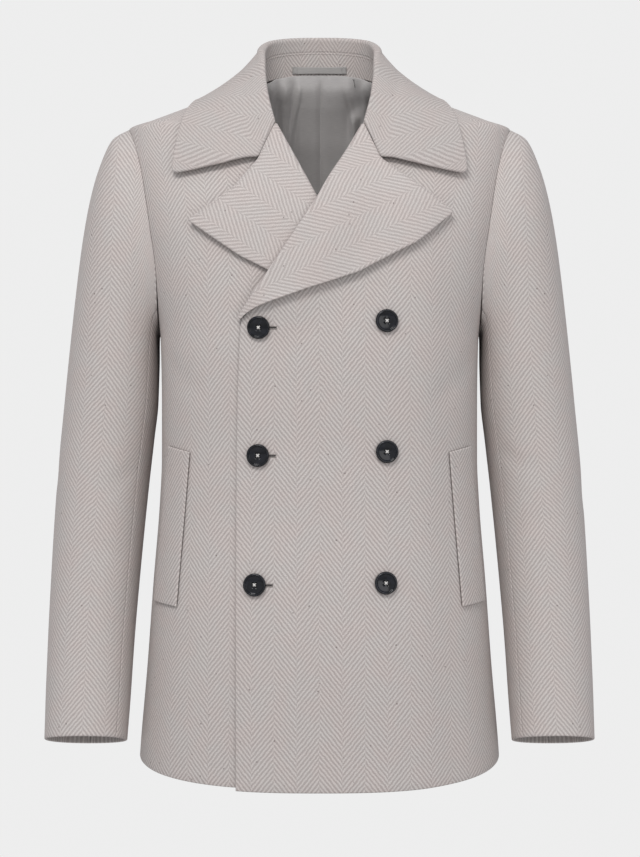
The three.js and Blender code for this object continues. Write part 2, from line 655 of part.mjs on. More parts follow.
// Collar leaf with its fold and inner band, the stand below it and the hanger loop, built as one half
// that is mirrored at the back centre
function makeCollar() {
  const columns = 15;
  const leafRows = 7;
  const foldSteps = 4;
  const innerRows = 3;
  const roll = evenSteps(COLLAR_ROLL.map((p) => vec(p.x, p.y, p.z)), columns);
  const seam = evenSteps(NECK_SEAM.map((p) => toBody(vec(p.x, p.y, p.z))), columns);
  const outward = roll.map((p) => bodyNormal(p));
  const outerTop = roll.map((p, i) => p.clone().addScaledVector(outward[i], FOLD_RADIUS));
  const innerTop = roll.map((p, i) => p.clone().addScaledVector(outward[i], -FOLD_RADIUS));
  outerTop[0] = frontPlace(COLLAR_END[0].x, COLLAR_END[0].z, leafHeight(0));
  innerTop[0] = frontPlace(COLLAR_END[0].x, COLLAR_END[0].z, -CLOTH / 2);
  const end = evenSteps(onSide(COLLAR_END, 1), leafRows, false).map((p, i) =>
    frontPlace(p.x, p.z, leafHeight(i / leafRows)),
  );
  const edge = evenSteps(COLLAR_EDGE.map((p) => toBody(vec(p.x, p.y, p.z))), columns).map((p, j) => {
    const height = lerp(leafHeight(1), BACK_EDGE_HEIGHT, smooth(0.05, 0.4, j / columns));
    return p.clone().addScaledVector(bodyNormal(p), height);
  });
  end[leafRows] = edge[0];
  // The end's bends fade along the leaf, which falls straight from the roll to its edge elsewhere
  const leaf = outerTop.map((start, j) =>
    end.map((p, i) => {
      const share = i / leafRows;
      const bend = p.clone().sub(end[0].clone().lerp(end[leafRows], share));
      const fade = Math.pow(1 - j / columns, END_FADE);
      const place = start.clone().lerp(edge[j], share).addScaledVector(bend, fade);
      return clearOfBody(place, COLLAR_CLOTH / 2 + 1.4);
    }),
  );
  const stand = [];
  const half = leaf.map((row, j) => {
    const foot = seam[j].clone().addScaledVector(bodyNormal(seam[j]), -CLOTH / 2);
    const height = foot.distanceTo(innerTop[j]);
    const up = innerTop[j].clone().sub(foot).normalize();
    const standShare = 0.58 * smooth(4.5, 8.5, j);
    const hasStand = j >= STAND_START;
    const rest = SEAM_GAP + 0.4 + (COLLAR_CLOTH / 2) * Math.abs(up.dot(bodyNormal(seam[j])));
    const lowHeight = hasStand ? standShare * height + SEAM_GAP : Math.min(rest, 0.6 * height);
    const low = foot.clone().addScaledVector(up, lowHeight);
    if (hasStand) {
      const bottom = foot.clone().addScaledVector(up, rest);
      const head = foot.clone().addScaledVector(up, standShare * height);
      stand.push([0, 0.5, 1].map((t) => bottom.clone().lerp(head, t)));
    }
    const inner = [];
    for (let k = 0; k < innerRows; k++) inner.push(low.clone().lerp(innerTop[j], k / innerRows));
    const out = row[0].clone().sub(row[1]).normalize();
    const handle = FOLD_RADIUS * 1.33;
    const bend = new THREE.CubicBezierCurve3(
      innerTop[j],
      innerTop[j].clone().addScaledVector(up, handle),
      row[0].clone().addScaledVector(out, handle),
      row[0],
    );
    for (let k = 0; k < foldSteps; k++) inner.push(bend.getPoint(k / foldSteps));
    return [...inner, ...row];
  });
  const otherSide = (row) => row.map((p) => vec(-p.x, p.y, p.z));
  const mirrored = (grid) => [...grid, ...grid.slice(0, -1).reverse().map(otherSide)];
  addPiece("collar_fall", thickSheet(mirrored(half), COLLAR_CLOTH), CLOTH_LOOK);
  addPiece("collar_stand", thickSheet(mirrored(stand), CLOTH), CLOTH_LOOK);

  const back = stand[stand.length - 1][0];
  const loopFoot = vec(0, back.y - CLOTH / 2 - 0.4 - LOOP.thick / 2, LOOP.z + SEAM_GAP);
  const loopGrid = [0, 1].map((v) =>
    Array.from({ length: 9 }, (_, i) => {
      const x = lerp(-LOOP.half, LOOP.half, i / 8);
      const bow = 2.2 * (1 - Math.pow(x / LOOP.half, 2));
      const nearWall = (x * x) / (2 * LOOP.wallRadius);
      return vec(x, loopFoot.y - bow - nearWall - 0.12 * LOOP.height * v, loopFoot.z + LOOP.height * v);
    }),
  );
  addPiece("hanger_loop", thickSheet(loopGrid, LOOP.thick), SATIN_LOOK);
}

// A welt lies on its front: its faces are the front's own points, moved out
function makeWelt(name, side, layerAt) {
  const across = 5;
  const down = 8;
  const corner = (p) => vec(side * p.x, 0, p.z);
  const left = evenSteps([corner(WELT.topOuter), corner(WELT.bottomOuter)], down, false);
  const right = evenSteps([corner(WELT.topInner), corner(WELT.bottomInner)], down, false);
  const face = (height) =>
    left.map((p, j) =>
      Array.from({ length: across + 1 }, (_, i) => {
        const q = p.clone().lerp(right[j], i / across);
        const rounded = height > 1 && (i === 0 || i === across) ? 0.9 : 0;
        return frontPlace(q.x, q.z, layerAt(q.x, q.z) + height - rounded);
      }),
    );
  addPiece(name, wallGeometry(face(WELT.gap + WELT.thick), face(WELT.gap)), CLOTH_LOOK);
}

// Four-hole button with a raised rim, turned to face out from the front
async function makeButtons(layerAt) {
  const wasm = await Module();
  wasm.setup();
  const solid = (geometry) => {
    const flat = geometry.index ? geometry.toNonIndexed() : geometry;
    const position = flat.getAttribute("position");
    const lookup = new Map();
    const vertices = [];
    const triangles = [];
    for (let i = 0; i < position.count; i++) {
      const exact = [position.getX(i), position.getY(i), position.getZ(i)];
      const point = exact.map((c) => Math.round(c * 1e4) / 1e4);
      const key = point.join(",");
      if (!lookup.has(key)) {
        lookup.set(key, vertices.length / 3);
        vertices.push(...point);
      }
      triangles.push(lookup.get(key));
    }
    const kept = [];
    for (let f = 0; f < triangles.length; f += 3) {
      const [a, b, c] = triangles.slice(f, f + 3);
      if (a !== b && b !== c && a !== c) kept.push(a, b, c);
    }
    const vertProperties = new Float32Array(vertices);
    const triVerts = new Uint32Array(kept);
    return new wasm.Manifold(new wasm.Mesh({ numProp: 3, vertProperties, triVerts }));
  };
  const r = BUTTON.radius;
  const profile = [
    [0, 0], [0.72 * r, 0], [0.95 * r, 0.8], [r, 2.2], [0.96 * r, 3.8], [0.89 * r, BUTTON.depth],
    [0.81 * r, 4.1], [0.77 * r, 3.1], [0.4 * r, 2.3], [0, 2.1],
  ].map(([x, y]) => new THREE.Vector2(x, y));
  let body = solid(new THREE.LatheGeometry(profile, 16));
  for (const [sx, sz] of [[1, 1], [1, -1], [-1, 1], [-1, -1]]) {
    const hole = new THREE.CylinderGeometry(BUTTON.holeRadius, BUTTON.holeRadius, 8, 6);
    hole.translate((sx * BUTTON.holeSpacing) / 2, 2, (sz * BUTTON.holeSpacing) / 2);
    body = body.subtract(solid(hole));
  }
  const made = body.getMesh();
  BUTTONS.forEach((place, index) => {
    const geometry = new THREE.BufferGeometry();
    geometry.setAttribute("position", new THREE.BufferAttribute(new Float32Array(made.vertProperties), 3));
    geometry.setIndex(new THREE.BufferAttribute(new Uint32Array(made.triVerts), 1));
    const face = (dx, dz) => {
      const x = place.x + dx * r;
      const z = place.z + dz * r;
      return frontPlace(x, z, layerAt(x, z));
    };
    const across = face(1, 0).sub(face(-1, 0));
    const n = across.cross(face(0, 1).sub(face(0, -1))).normalize();
    geometry.applyQuaternion(new THREE.Quaternion().setFromUnitVectors(vec(0, 1, 0), n));
    const seat = face(0, 0).addScaledVector(n, 0.6);
    geometry.translate(seat.x, seat.y, seat.z);
    geometry.computeVertexNormals();
    addPiece("button_" + (index + 1), geometry, BUTTON_LOOK);
  });
}

const flat = () => 0;
const underRoll = [...LAPEL_RIGHT.roll, { x: -86, z: ROLL_END_Z }];
makeFront("front_left", 1, LAPEL_LEFT.roll, HEM_DROP_OVER, (p) => overlapLift(p.x, p.z));
makeFront("front_right", -1, underRoll, HEM_DROP_UNDER, flat);
makeBack();
makeSleeve("left", 1);
makeSleeve("right", -1);
makeLapel("lapel_left", 1, LAPEL_LEFT, overlapLift, false);
makeLapel("lapel_right", -1, LAPEL_RIGHT, flat, true);
makeCollar();
makeWelt("pocket_welt_left", 1, overlapLift);
makeWelt("pocket_welt_right", -1, flat);
await makeButtons(overlapLift);

export default coat;
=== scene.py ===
"""Looks of a short double-breasted coat of herringbone wool, filled out with no wearer.

Lengths are real ones in millimetres until a mesh is made. The frame is the part's own one: +Z is up,
the front faces -Y, +X is the wearer's left and the origin is the middle of the neck.
"""
import logging
import math
from dataclasses import dataclass, field
from enum import Enum
from typing import Callable, Optional, Sequence

import bpy
import numpy as np
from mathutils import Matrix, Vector


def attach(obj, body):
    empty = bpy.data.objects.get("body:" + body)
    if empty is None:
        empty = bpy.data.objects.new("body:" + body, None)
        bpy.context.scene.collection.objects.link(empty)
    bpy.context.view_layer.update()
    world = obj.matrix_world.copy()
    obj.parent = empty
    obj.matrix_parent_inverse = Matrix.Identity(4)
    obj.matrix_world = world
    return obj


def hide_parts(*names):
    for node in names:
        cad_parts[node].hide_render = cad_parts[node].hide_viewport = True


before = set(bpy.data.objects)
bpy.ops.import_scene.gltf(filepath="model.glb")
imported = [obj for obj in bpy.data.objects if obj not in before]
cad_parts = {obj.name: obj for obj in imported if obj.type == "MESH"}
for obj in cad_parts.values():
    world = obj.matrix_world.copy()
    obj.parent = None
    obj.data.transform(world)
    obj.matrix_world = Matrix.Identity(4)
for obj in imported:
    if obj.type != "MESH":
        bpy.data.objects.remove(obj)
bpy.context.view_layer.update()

MM = 0.001
UV_NAME = "weave_mm"
log = logging.getLogger("coat")

Array = np.ndarray
Height = Callable[[Array, Array], Array]


# Tables of sizes

SECTIONS = np.array([
    # z, half width, depth to the front, depth to the back, squareness
    (-806, 209, 153, 143, 2.7),
    (-761, 206, 152, 143, 2.7),
    (-668, 198, 151, 141, 2.7),
    (-576, 191.4, 147, 131, 2.7),
    (-483, 183.9, 142, 117, 2.75),
    (-436, 181.7, 142, 112, 2.8),
    (-367, 181.5, 146, 115, 2.9),
    (-300, 182.6, 149, 124, 3.0),
    (-237, 193, 148, 130, 3.0),
    (-188, 201.5, 143, 132, 3.0),
    (-151, 208.5, 135, 130, 2.85),
    (-113, 215, 120, 123, 2.65),
    (-80, 219.5, 104, 112, 2.45),
    (-55, 220.5, 91, 101, 2.3),
    (-45, 195, 86, 97, 2.25),
    (-30, 155, 78, 90, 2.2),
    (-12, 107, 67, 80, 2.1),
    (0, 75, 58, 71, 2.1),
    (17, 69, 50, 64, 2.1),
    (70, 66, 45, 60, 2.1),
], dtype=float)

SLEEVE_RINGS = np.array([
    # outer x and z, inner x and z, half depth, middle y, tilt in degrees
    (221, -55, 183.5, -290, 79, 0, 0),
    (238, -64.5, 186.5, -301, 79, 0, 0),
    (253, -95, 186.5, -313, 78, 0, 0),
    (264, -133, 186.5, -326, 76.5, 0, 0),
    (273, -181, 186.8, -343, 75, 0, 0),
    (284, -268, 187.5, -373, 72, -1, 0),
    (294.5, -367, 192, -415, 69, -1, 1),
    (303, -460, 198, -470, 66, -4, 4),
    (308, -552, 205.5, -551, 61, -14, 7),
    (311, -642, 212.4, -642, 56, -30, 10),
    (312, -712, 216, -712, 52.5, -47, 12),
    (312, -753.5, 218.5, -753.5, 50.5, -59, 12),
], dtype=float)

# Straight line of the arm along which the sleeve's threads run, and the half sizes of its level sections
SLEEVE_AXIS = np.array([
    # z, centre x, half width, centre y, half depth
    (-753.5, 265.3, 46.8, -59, 50.5),
    (-642, 261.7, 49.3, -30, 56),
    (-552, 256.8, 51.3, -14, 61),
    (-460, 250, 53, -4, 66),
    (-343, 240.5, 52.6, -1, 71),
    (-100, 231, 44, 0, 79),
    (-40, 229, 43, 0, 79),
], dtype=float)

NECK_SEAM = np.array([
    (53, -92, -60), (62, -73, -33), (68.5, -52, -14), (73, -27, -3), (75, 0, 0),
    (70, 28, 5), (54, 48, 11.5), (29, 61, 15.5), (0, 64, 17),
], dtype=float)
COLLAR_ROLL = np.array([
    (51.3, -97, -60), (60, -78, -28), (64, -57, -2), (65.5, -34, 19), (66.5, -12, 32),
    (65.5, 10, 41), (59.5, 30, 49.5), (44, 47, 55), (23, 57, 58), (0, 60, 58.7),
], dtype=float)
COLLAR_EDGE = np.array([
    (160.5, -92, -117.8), (159.5, -84, -80), (152, -66, -52), (144, -38, -34), (139, 0, -24),
    (127, 32, -26), (104, 58, -25), (72, 75, -19), (36, 84, -15), (0, 86, -13),
], dtype=float)
# The collar's end in the front view: gorge seam to the notch, then the free edge to the point
COLLAR_END = np.array([
    (51.3, -60), (59.5, -79), (68, -100.5), (81, -102.3), (108, -108.8), (138, -114.6), (160.5, -117.8),
])
TUCK_LINE = np.array([(-1, -146), (-46, -232)], dtype=float)
BUTTON_PLACES = np.array([
    (-66.0, -289.0), (-67.0, -429.6), (-70.5, -572.2), (73.2, -281.7), (73.4, -425.2), (72.1, -570.2),
])


class Side(Enum):
    """Side of the wearer; the value is the sign of x."""

    LEFT = 1
    RIGHT = -1

    @property
    def label(self) -> str:
        """Name of the side as the CAD nodes write it."""
        return self.name.lower()


@dataclass(frozen=True)
class Cloth:
    """Thicknesses and gaps of the cloth layers, in millimetres."""

    body: float = 3.0
    collar: float = 3.5
    sleeve: float = 2.8
    lining: float = 1.0
    lining_gap: float = 3.2
    fold_radius: float = 2.5
    edge_lift: float = 4.5
    back_edge_height: float = 3.4
    overlap_lift: float = 4.0
    tuck_lift: float = 6.0


@dataclass(frozen=True)
class Lengths:
    """Places of the hem, armhole and neck, in millimetres."""

    hem_side_z: float = -773
    hem_drop_over: float = 27
    hem_drop_under: float = 23.5
    hem_drop_back: float = 2
    hem_curve: float = 1.4
    underarm_z: float = -290
    shoulder_z: float = -55
    neck_point_x: float = 75
    front_edge_x: float = 91.5
    armhole_half_depth: float = 78
    neck_inset: float = 2.6


CLOTH = Cloth()
LENGTHS = Lengths()
SLEEVE_SQUARE = 2.15
SEAM_ROWS = 11
ARMHOLE_ROWS = 14
FINE = 5


# Curves and surfaces

def smoothstep(low: float, high: float, value: Array) -> Array:
    """Smooth rise from 0 at low to 1 at high.

    Args:
        low: Value where the rise starts.
        high: Value where it ends.
        value: Places to look up.

    Returns:
        The share at each place.
    """
    t = np.clip((np.asarray(value, dtype=float) - low) / (high - low), 0.0, 1.0)
    return t * t * (3.0 - 2.0 * t)


class MonotoneCurve:
    """Smooth curve through a table's column that never swings past its values."""

    def __init__(self, at: Array, values: Array) -> None:
        """Works out the tangents.

        Args:
            at: Rising places of the values.
            values: The column.
        """
        self.at = np.asarray(at, dtype=float)
        self.values = np.asarray(values, dtype=float)
        step = np.diff(self.at)
        slope = np.diff(self.values) / step
        tangent = np.zeros(len(self.at))
        tangent[0], tangent[-1] = slope[0], slope[-1]
        same = slope[:-1] * slope[1:] > 0
        a = 2 * step[1:] + step[:-1]
        b = step[1:] + 2 * step[:-1]
        safe = np.where(same, slope[:-1], 1.0), np.where(same, slope[1:], 1.0)
        tangent[1:-1] = np.where(same, (a + b) / (a / safe[0] + b / safe[1]), 0.0)
        self.tangent = tangent

    def __call__(self, value: Array) -> Array:
        """Value of the curve at each given place.

        Args:
            value: Places along the curve.

        Returns:
            Values of the curve.
        """
        t = np.clip(value, self.at[0], self.at[-1])
        i = np.clip(np.searchsorted(self.at, t, side="left") - 1, 0, len(self.at) - 2)
        h = self.at[i + 1] - self.at[i]
        u = (t - self.at[i]) / h
        u2, u3 = u * u, u * u * u
        return (
            (2 * u3 - 3 * u2 + 1) * self.values[i]
            + (u3 - 2 * u2 + u) * h * self.tangent[i]
            + (3 * u2 - 2 * u3) * self.values[i + 1]
            + (u3 - u2) * h * self.tangent[i + 1]
        )


def unit(v: Array) -> Array:
    """Vectors of length 1 in the same directions."""
    return v / np.maximum(np.linalg.norm(v, axis=-1, keepdims=True), 1e-9)


def flat_points(xz: Array, sign: float = 1.0) -> Array:
    """Points of the front view as points in space with y at 0, mirrored when sign is -1."""
    xz = np.asarray(xz, dtype=float)
    return np.stack([sign * xz[:, 0], np.zeros(len(xz)), xz[:, 1]], axis=1)


def resample(line: Array, count: int, bias: float = 1.0) -> Array:
    """Points at even lengths along a line of points.

    Args:
        line: Points of the line.
        count: Number of steps.
        bias: Power of the share of the length, 1 for even steps.

    Returns:
        count + 1 points.
    """
    length = np.concatenate([[0.0], np.cumsum(np.linalg.norm(np.diff(line, axis=0), axis=1))])
    want = length[-1] * np.linspace(0, 1, count + 1) ** bias
    return np.stack([np.interp(want, length, line[:, k]) for k in range(line.shape[1])], axis=1)


def smooth_line(points: Array, fine: int = 60) -> Array:
    """Centripetal Catmull-Rom curve through points, ends included.

    The curve between two points is the cubic whose end slopes come from the point before and the
    point after, each weighted by the square root of its distance.


    Args:
        points: Points.
        fine: Number of parts of each cell.

    Returns:
        Points of the curve.
    """
    first = 2 * points[0] - points[1]
    last = 2 * points[-1] - points[-2]
    p = np.vstack([first, points, last])
    gap = np.maximum(np.linalg.norm(np.diff(p, axis=0), axis=1) ** 0.5, 1e-6)[:, None]
    p0, p1, p2, p3 = p[:-3], p[1:-2], p[2:-1], p[3:]
    d0, d1, d2 = gap[:-2], gap[1:-1], gap[2:]
    t1 = ((p1 - p0) / d0 - (p2 - p0) / (d0 + d1) + (p2 - p1) / d1) * d1
    t2 = ((p2 - p1) / d1 - (p3 - p1) / (d1 + d2) + (p3 - p2) / d2) * d1
    t = np.linspace(0, 1, fine, endpoint=False)[None, :, None]
    cubic = (
        p1[:, None]
        + t1[:, None] * t
        + (-3 * p1 + 3 * p2 - 2 * t1 - t2)[:, None] * t**2
        + (2 * p1 - 2 * p2 + t1 + t2)[:, None] * t**3
    )
    return np.vstack([cubic.reshape(-1, points.shape[1]), points[-1:]])


def round_corner(first: Array, second: Array, radius: float) -> tuple[Array, Array]:
    """Rounds the corner in which one dense line ends and the next one begins.

    The last stretch of the first line and the first stretch of the second give way to the two halves
    of a parabola that touches both lines.

    Args:
        first: Points of the line that ends in the corner.
        second: Points of the line that begins there.
        radius: Length of each stretch.

    Returns:
        Both lines, meeting in the middle of the parabola.
    """
    corner = second[0]
    first_kept = first[np.linalg.norm(first - corner, axis=1) > radius]
    second_kept = second[np.linalg.norm(second - corner, axis=1) > radius]
    t = np.linspace(0, 1, 41)[:, None]
    bend = (1 - t) ** 2 * first_kept[-1] + 2 * t * (1 - t) * corner + t**2 * second_kept[0]
    return np.vstack([first_kept[:-1], bend[:21]]), np.vstack([bend[20:], second_kept[1:]])


def fill_borders(bottom: Array, top: Array, left: Array, right: Array) -> Array:
    """Surface through four borders: bottom and top run across, left and right run up.

    Args:
        bottom: Border across the bottom.
        top: Border across the top.
        left: Border up the left.
        right: Border up the right.

    Returns:
        Rows of points.
    """
    u = np.linspace(0, 1, len(bottom))[None, :, None]
    v = np.linspace(0, 1, len(left))[:, None, None]
    ruled = (1 - v) * bottom[None] + v * top[None] + (1 - u) * left[:, None] + u * right[:, None]
    corners = (
        (1 - u) * (1 - v) * bottom[0] + u * (1 - v) * bottom[-1]
        + (1 - u) * v * top[0] + u * v * top[-1]
    )
    return ruled - corners


def grid_normals(grid: Array) -> Array:
    """Unit normals of a surface that is given as rows of points.

    Args:
        grid: Rows of points.

    Returns:
        Normals in rows.
    """
    across = np.gradient(grid, axis=1)
    along = np.gradient(grid, axis=0)
    return unit(np.cross(across, along))


def refine(grid: Array, factor: int) -> Array:
    """Grid with factor times as many cells each way, straight between the old points.

    Args:
        grid: Rows of points.
        factor: Parts of each old cell.

    Returns:
        The finer grid.
    """
    rows, columns = grid.shape[:2]
    at_rows = np.linspace(0, rows - 1, (rows - 1) * factor + 1)
    at_columns = np.linspace(0, columns - 1, (columns - 1) * factor + 1)
    j = np.minimum(at_rows.astype(int), rows - 2)
    i = np.minimum(at_columns.astype(int), columns - 2)
    v = (at_rows - j)[:, None, None]
    u = (at_columns - i)[None, :, None]
    low = grid[j][:, i] * (1 - u) + grid[j][:, i + 1] * u
    high = grid[j + 1][:, i] * (1 - u) + grid[j + 1][:, i + 1] * u
    return low * (1 - v) + high * v


class BodyForm:
    """The filled-out body: level superellipse sections that a table gives."""

    def __init__(self, sections: Array) -> None:
        """Makes one curve for each column of the table.

        Args:
            sections: Table of level sections.
        """
        z = sections[:, 0]
        self.half = MonotoneCurve(z, sections[:, 1])
        self.front = MonotoneCurve(z, sections[:, 2])
        self.back = MonotoneCurve(z, sections[:, 3])
        self.square = MonotoneCurve(z, sections[:, 4])

    def ratio(self, p: Array) -> Array:
        """1 on the surface, less inside and more outside.

        Args:
            p: Points.

        Returns:
            Ratio at each point.
        """
        x, y, z = p[..., 0], p[..., 1], p[..., 2]
        n = self.square(z)
        depth = np.where(y < 0, self.front(z), self.back(z))
        total = (np.abs(x) / self.half(z)) ** n + (np.abs(y) / depth) ** n
        return total ** (1 / n)

    def slope(self, p: Array) -> Array:
        """Slope of the ratio, by differences over 0.8 mm.

        Args:
            p: Points.

        Returns:
            Slope at each point.
        """
        d = 0.4
        steps = np.eye(3) * d
        return np.stack([self.ratio(p + s) - self.ratio(p - s) for s in steps], axis=-1) / (2 * d)

    def project(self, p: Array, steps: int = 12) -> Array:
        """Nearest points of the surface, found by steps along the slope.

        Args:
            p: Points.
            steps: Number of steps.

        Returns:
            Points on the surface.
        """
        q = np.array(p, dtype=float)
        for _ in range(steps):
            g = self.slope(q)
            q = q + g * ((1 - self.ratio(q)) / np.sum(g * g, axis=-1))[..., None]
        return q

    def normal(self, p: Array) -> Array:
        """Unit normals of the surface, outward."""
        return unit(self.slope(p))

    def front_point(self, x: Array, z: Array) -> Array:
        """Points of the body's front with the given places in the front view.

        Args:
            x: Places across.
            z: Heights.

        Returns:
            Points on the surface.
        """
        n = self.square(z)
        across = np.minimum(1.0, (np.abs(x) / self.half(z)) ** n)
        return np.stack([x, -self.front(z) * (1 - across) ** (1 / n), z], axis=-1)

    def front_place(self, x: Array, z: Array, height: Array) -> Array:
        """The same points, moved out along the normal by a height."""
        p = self.front_point(np.asarray(x, dtype=float), np.asarray(z, dtype=float))
        return p + self.normal(p) * np.asarray(height, dtype=float)[..., None]

    def clear(self, p: Array, distance: float) -> Array:
        """Points kept at least a distance outside the surface.

        Args:
            p: Points.
            distance: Least distance in millimetres.

        Returns:
            The moved points.
        """
        q = np.array(p, dtype=float)
        for _ in range(4):
            g = self.slope(q)
            size = np.linalg.norm(g, axis=-1)
            short = np.maximum(0.0, distance - (self.ratio(q) - 1) / size)
            q = q + g / size[..., None] * short[..., None]
        return q

    def even_out(self, grid: Array, rounds: int) -> Array:
        """Evens out a grid's cells: each inner point goes to the mean of its four neighbours, back
        on the surface. The borders stay.

        Args:
            grid: Rows of points.
            rounds: Number of rounds.

        Returns:
            The evened grid.
        """
        g = np.array(grid)
        for _ in range(rounds):
            mean = (g[1:-1, :-2] + g[1:-1, 2:] + g[:-2, 1:-1] + g[2:, 1:-1]) / 4
            g[1:-1, 1:-1] = self.project(mean, 2)
        return g


BODY = BodyForm(SECTIONS)


class WeaveMap:
    """Where a point of the body lies on its flat cloth: across from the middle, and up.

    Across is the length along the level section; above the chest it is the length along the section
    at the chest with the same x, because the threads run on straight over the shoulder. Up is z, and
    above the chest the length along the surface at constant x.
    """

    CHEST_Z = -160.0

    def __init__(self, body: BodyForm) -> None:
        """Works out two tables of lengths for the front and the back.

        Args:
            body: The body's form.
        """
        self.body = body
        self.levels = np.linspace(-806, self.CHEST_Z, 40)
        self.angles = np.linspace(0, math.pi / 2, 240)
        self.across_tables = [self._across_table(depth) for depth in (body.front, body.back)]
        self.xs = np.linspace(0, 219, 110)
        self.zs = np.linspace(self.CHEST_Z, 17, 120)
        self.up_tables = [self._up_table(depth) for depth in (body.front, body.back)]

    def _across_table(self, depth: MonotoneCurve) -> Array:
        """Lengths along the level sections, from the middle outward.

        Args:
            depth: Depth of the body's face by height.

        Returns:
            One row of lengths for each level.
        """
        z = self.levels[:, None]
        power = 2 / self.body.square(z)
        x = self.body.half(z) * np.cos(self.angles) ** power
        y = depth(z) * np.sin(self.angles) ** power
        steps = np.hypot(np.diff(x, axis=1), np.diff(y, axis=1))
        from_side = np.concatenate([np.zeros((len(z), 1)), np.cumsum(steps, axis=1)], axis=1)
        return from_side[:, -1:] - from_side

    def _up_table(self, depth: MonotoneCurve) -> Array:
        """Lengths up the surface at constant x, from the lowest height.

        Args:
            depth: Depth of the body's face by height.

        Returns:
            One row of lengths for each height.
        """
        z = self.zs[:, None]
        n = self.body.square(z)
        share = np.minimum(1.0, (self.xs[None] / self.body.half(z)) ** n)
        y = depth(z) * (1 - share) ** (1 / n)
        steps = np.hypot(np.diff(y, axis=0), np.diff(z, axis=0))
        return np.concatenate([np.zeros((1, len(self.xs))), np.cumsum(steps, axis=0)], axis=0)

    @staticmethod
    def look_up(table: Array, rows: Array, columns: Array, r: Array, c: Array) -> Array:
        """Values between the cells of a table, straight both ways.

        Args:
            table: The values.
            rows: Evenly spaced places of its rows.
            columns: Evenly spaced places of its columns.
            r: Places between the rows.
            c: Places between the columns.

        Returns:
            One value for each place.
        """
        j = np.clip((r - rows[0]) / (rows[1] - rows[0]), 0, len(rows) - 1.001)
        i = np.clip((c - columns[0]) / (columns[1] - columns[0]), 0, len(columns) - 1.001)
        j0, i0 = j.astype(int), i.astype(int)
        v, u = j - j0, i - i0
        low = table[j0, i0] * (1 - u) + table[j0, i0 + 1] * u
        high = table[j0 + 1, i0] * (1 - u) + table[j0 + 1, i0 + 1] * u
        return low * (1 - v) + high * v

    def __call__(self, p: Array) -> Array:
        """Flat place of each point.

        Args:
            p: Points on the body's surface.

        Returns:
            Pairs of across and up, in millimetres.
        """
        x, y, z = np.abs(p[..., 0]), p[..., 1], p[..., 2]
        level = np.minimum(z, self.CHEST_Z)
        half, n = self.body.half(level), self.body.square(level)
        scaled = x * np.minimum(1.0, half / self.body.half(z))
        flat_angle = np.arccos(np.clip((scaled / half) ** (n / 2), 0, 1))
        depth = np.where(y < 0, self.body.front(level), self.body.back(level))
        true_angle = np.arctan2((np.abs(y) / depth) ** (n / 2), (x / half) ** (n / 2))
        angle = np.where(z <= self.CHEST_Z, true_angle, flat_angle)
        across = [self.look_up(t, self.levels, self.angles, level, angle) for t in self.across_tables]
        rise = [self.look_up(t, self.zs, self.xs, z, x) for t in self.up_tables]
        in_front = y < 0
        across_here = np.where(in_front, across[0], across[1]) * np.sign(p[..., 0])
        up = level + np.where(z > self.CHEST_Z, np.where(in_front, rise[0], rise[1]), 0.0)
        return np.stack([across_here, up], axis=-1)


WEAVE = WeaveMap(BODY)


class SleeveWeaveMap:
    """Where a point of a sleeve lies on its flat cloth: round from the front's middle, and along the arm.

    Round is the length along the level section, taken as a superellipse about the arm's line. On the
    sleeve's head, which is narrower than that, threads run straight on in the front and back views.
    Along is the length of the arm's line plus the part of the offset that lies along it.
    """

    def __init__(self, axis: Array) -> None:
        """Works out the arm's line and a table of lengths round the sections.

        Args:
            axis: Table of the arm's line.
        """
        z = axis[:, 0]
        curves = [MonotoneCurve(z, axis[:, k]) for k in range(1, 5)]
        self.centre_x, self.half_x, self.centre_y, self.half_y = curves
        self.levels = np.linspace(z[0], z[-1], 80)
        self.angles = np.linspace(0, math.pi / 2, 160)
        power = 2 / SLEEVE_SQUARE
        x = self.half_x(self.levels)[:, None] * np.cos(self.angles) ** power
        y = self.half_y(self.levels)[:, None] * np.sin(self.angles) ** power
        steps = np.hypot(np.diff(x, axis=1), np.diff(y, axis=1))
        self.table = np.concatenate([np.zeros((len(x), 1)), np.cumsum(steps, axis=1)], axis=1)
        line = np.stack([self.centre_x(self.levels), self.centre_y(self.levels), self.levels], axis=1)
        self.run = np.concatenate([[0.0], np.cumsum(np.linalg.norm(np.diff(line, axis=0), axis=1))])
        self.tangent = unit(np.gradient(line, axis=0))

    def __call__(self, p: Array, under: bool) -> Array:
        """Flat place of each point.

        Args:
            p: Points of a sleeve, with x positive.
            under: Whether they belong to the under piece, which is unrolled over the arm's inner side.

        Returns:
            Pairs of round and along, in millimetres.
        """
        z = np.clip(p[..., 2], self.levels[0], self.levels[-1])
        dx, dy = p[..., 0] - self.centre_x(z), p[..., 1] - self.centre_y(z)
        wide, deep = np.abs(dx) / self.half_x(z), np.abs(dy) / self.half_y(z)
        n = SLEEVE_SQUARE / 2
        turned = np.arctan2(deep**n, wide**n)
        straight = np.arccos(np.clip(wide**n, 0, 1))
        share = smoothstep(0.3, 0.8, np.sin(turned))
        angle = turned * (1 - share) + straight * share
        from_end = WeaveMap.look_up(self.table, self.levels, self.angles, z, angle)
        quarter = WeaveMap.look_up(self.table, self.levels, self.angles, z, 0 * z + math.pi / 2)
        from_outer = np.where(dx >= 0, from_end, 2 * quarter - from_end)
        back_way = from_outer - 3 * quarter if under else quarter + from_outer
        across = np.where(dy <= 0, quarter - from_outer, back_way)
        tangent = np.stack([np.interp(z, self.levels, self.tangent[:, k]) for k in range(3)], axis=-1)
        along = np.interp(z, self.levels, self.run) + dx * tangent[..., 0] + dy * tangent[..., 1]
        return np.stack([across, along], axis=-1)


SLEEVE_WEAVE = SleeveWeaveMap(SLEEVE_AXIS)


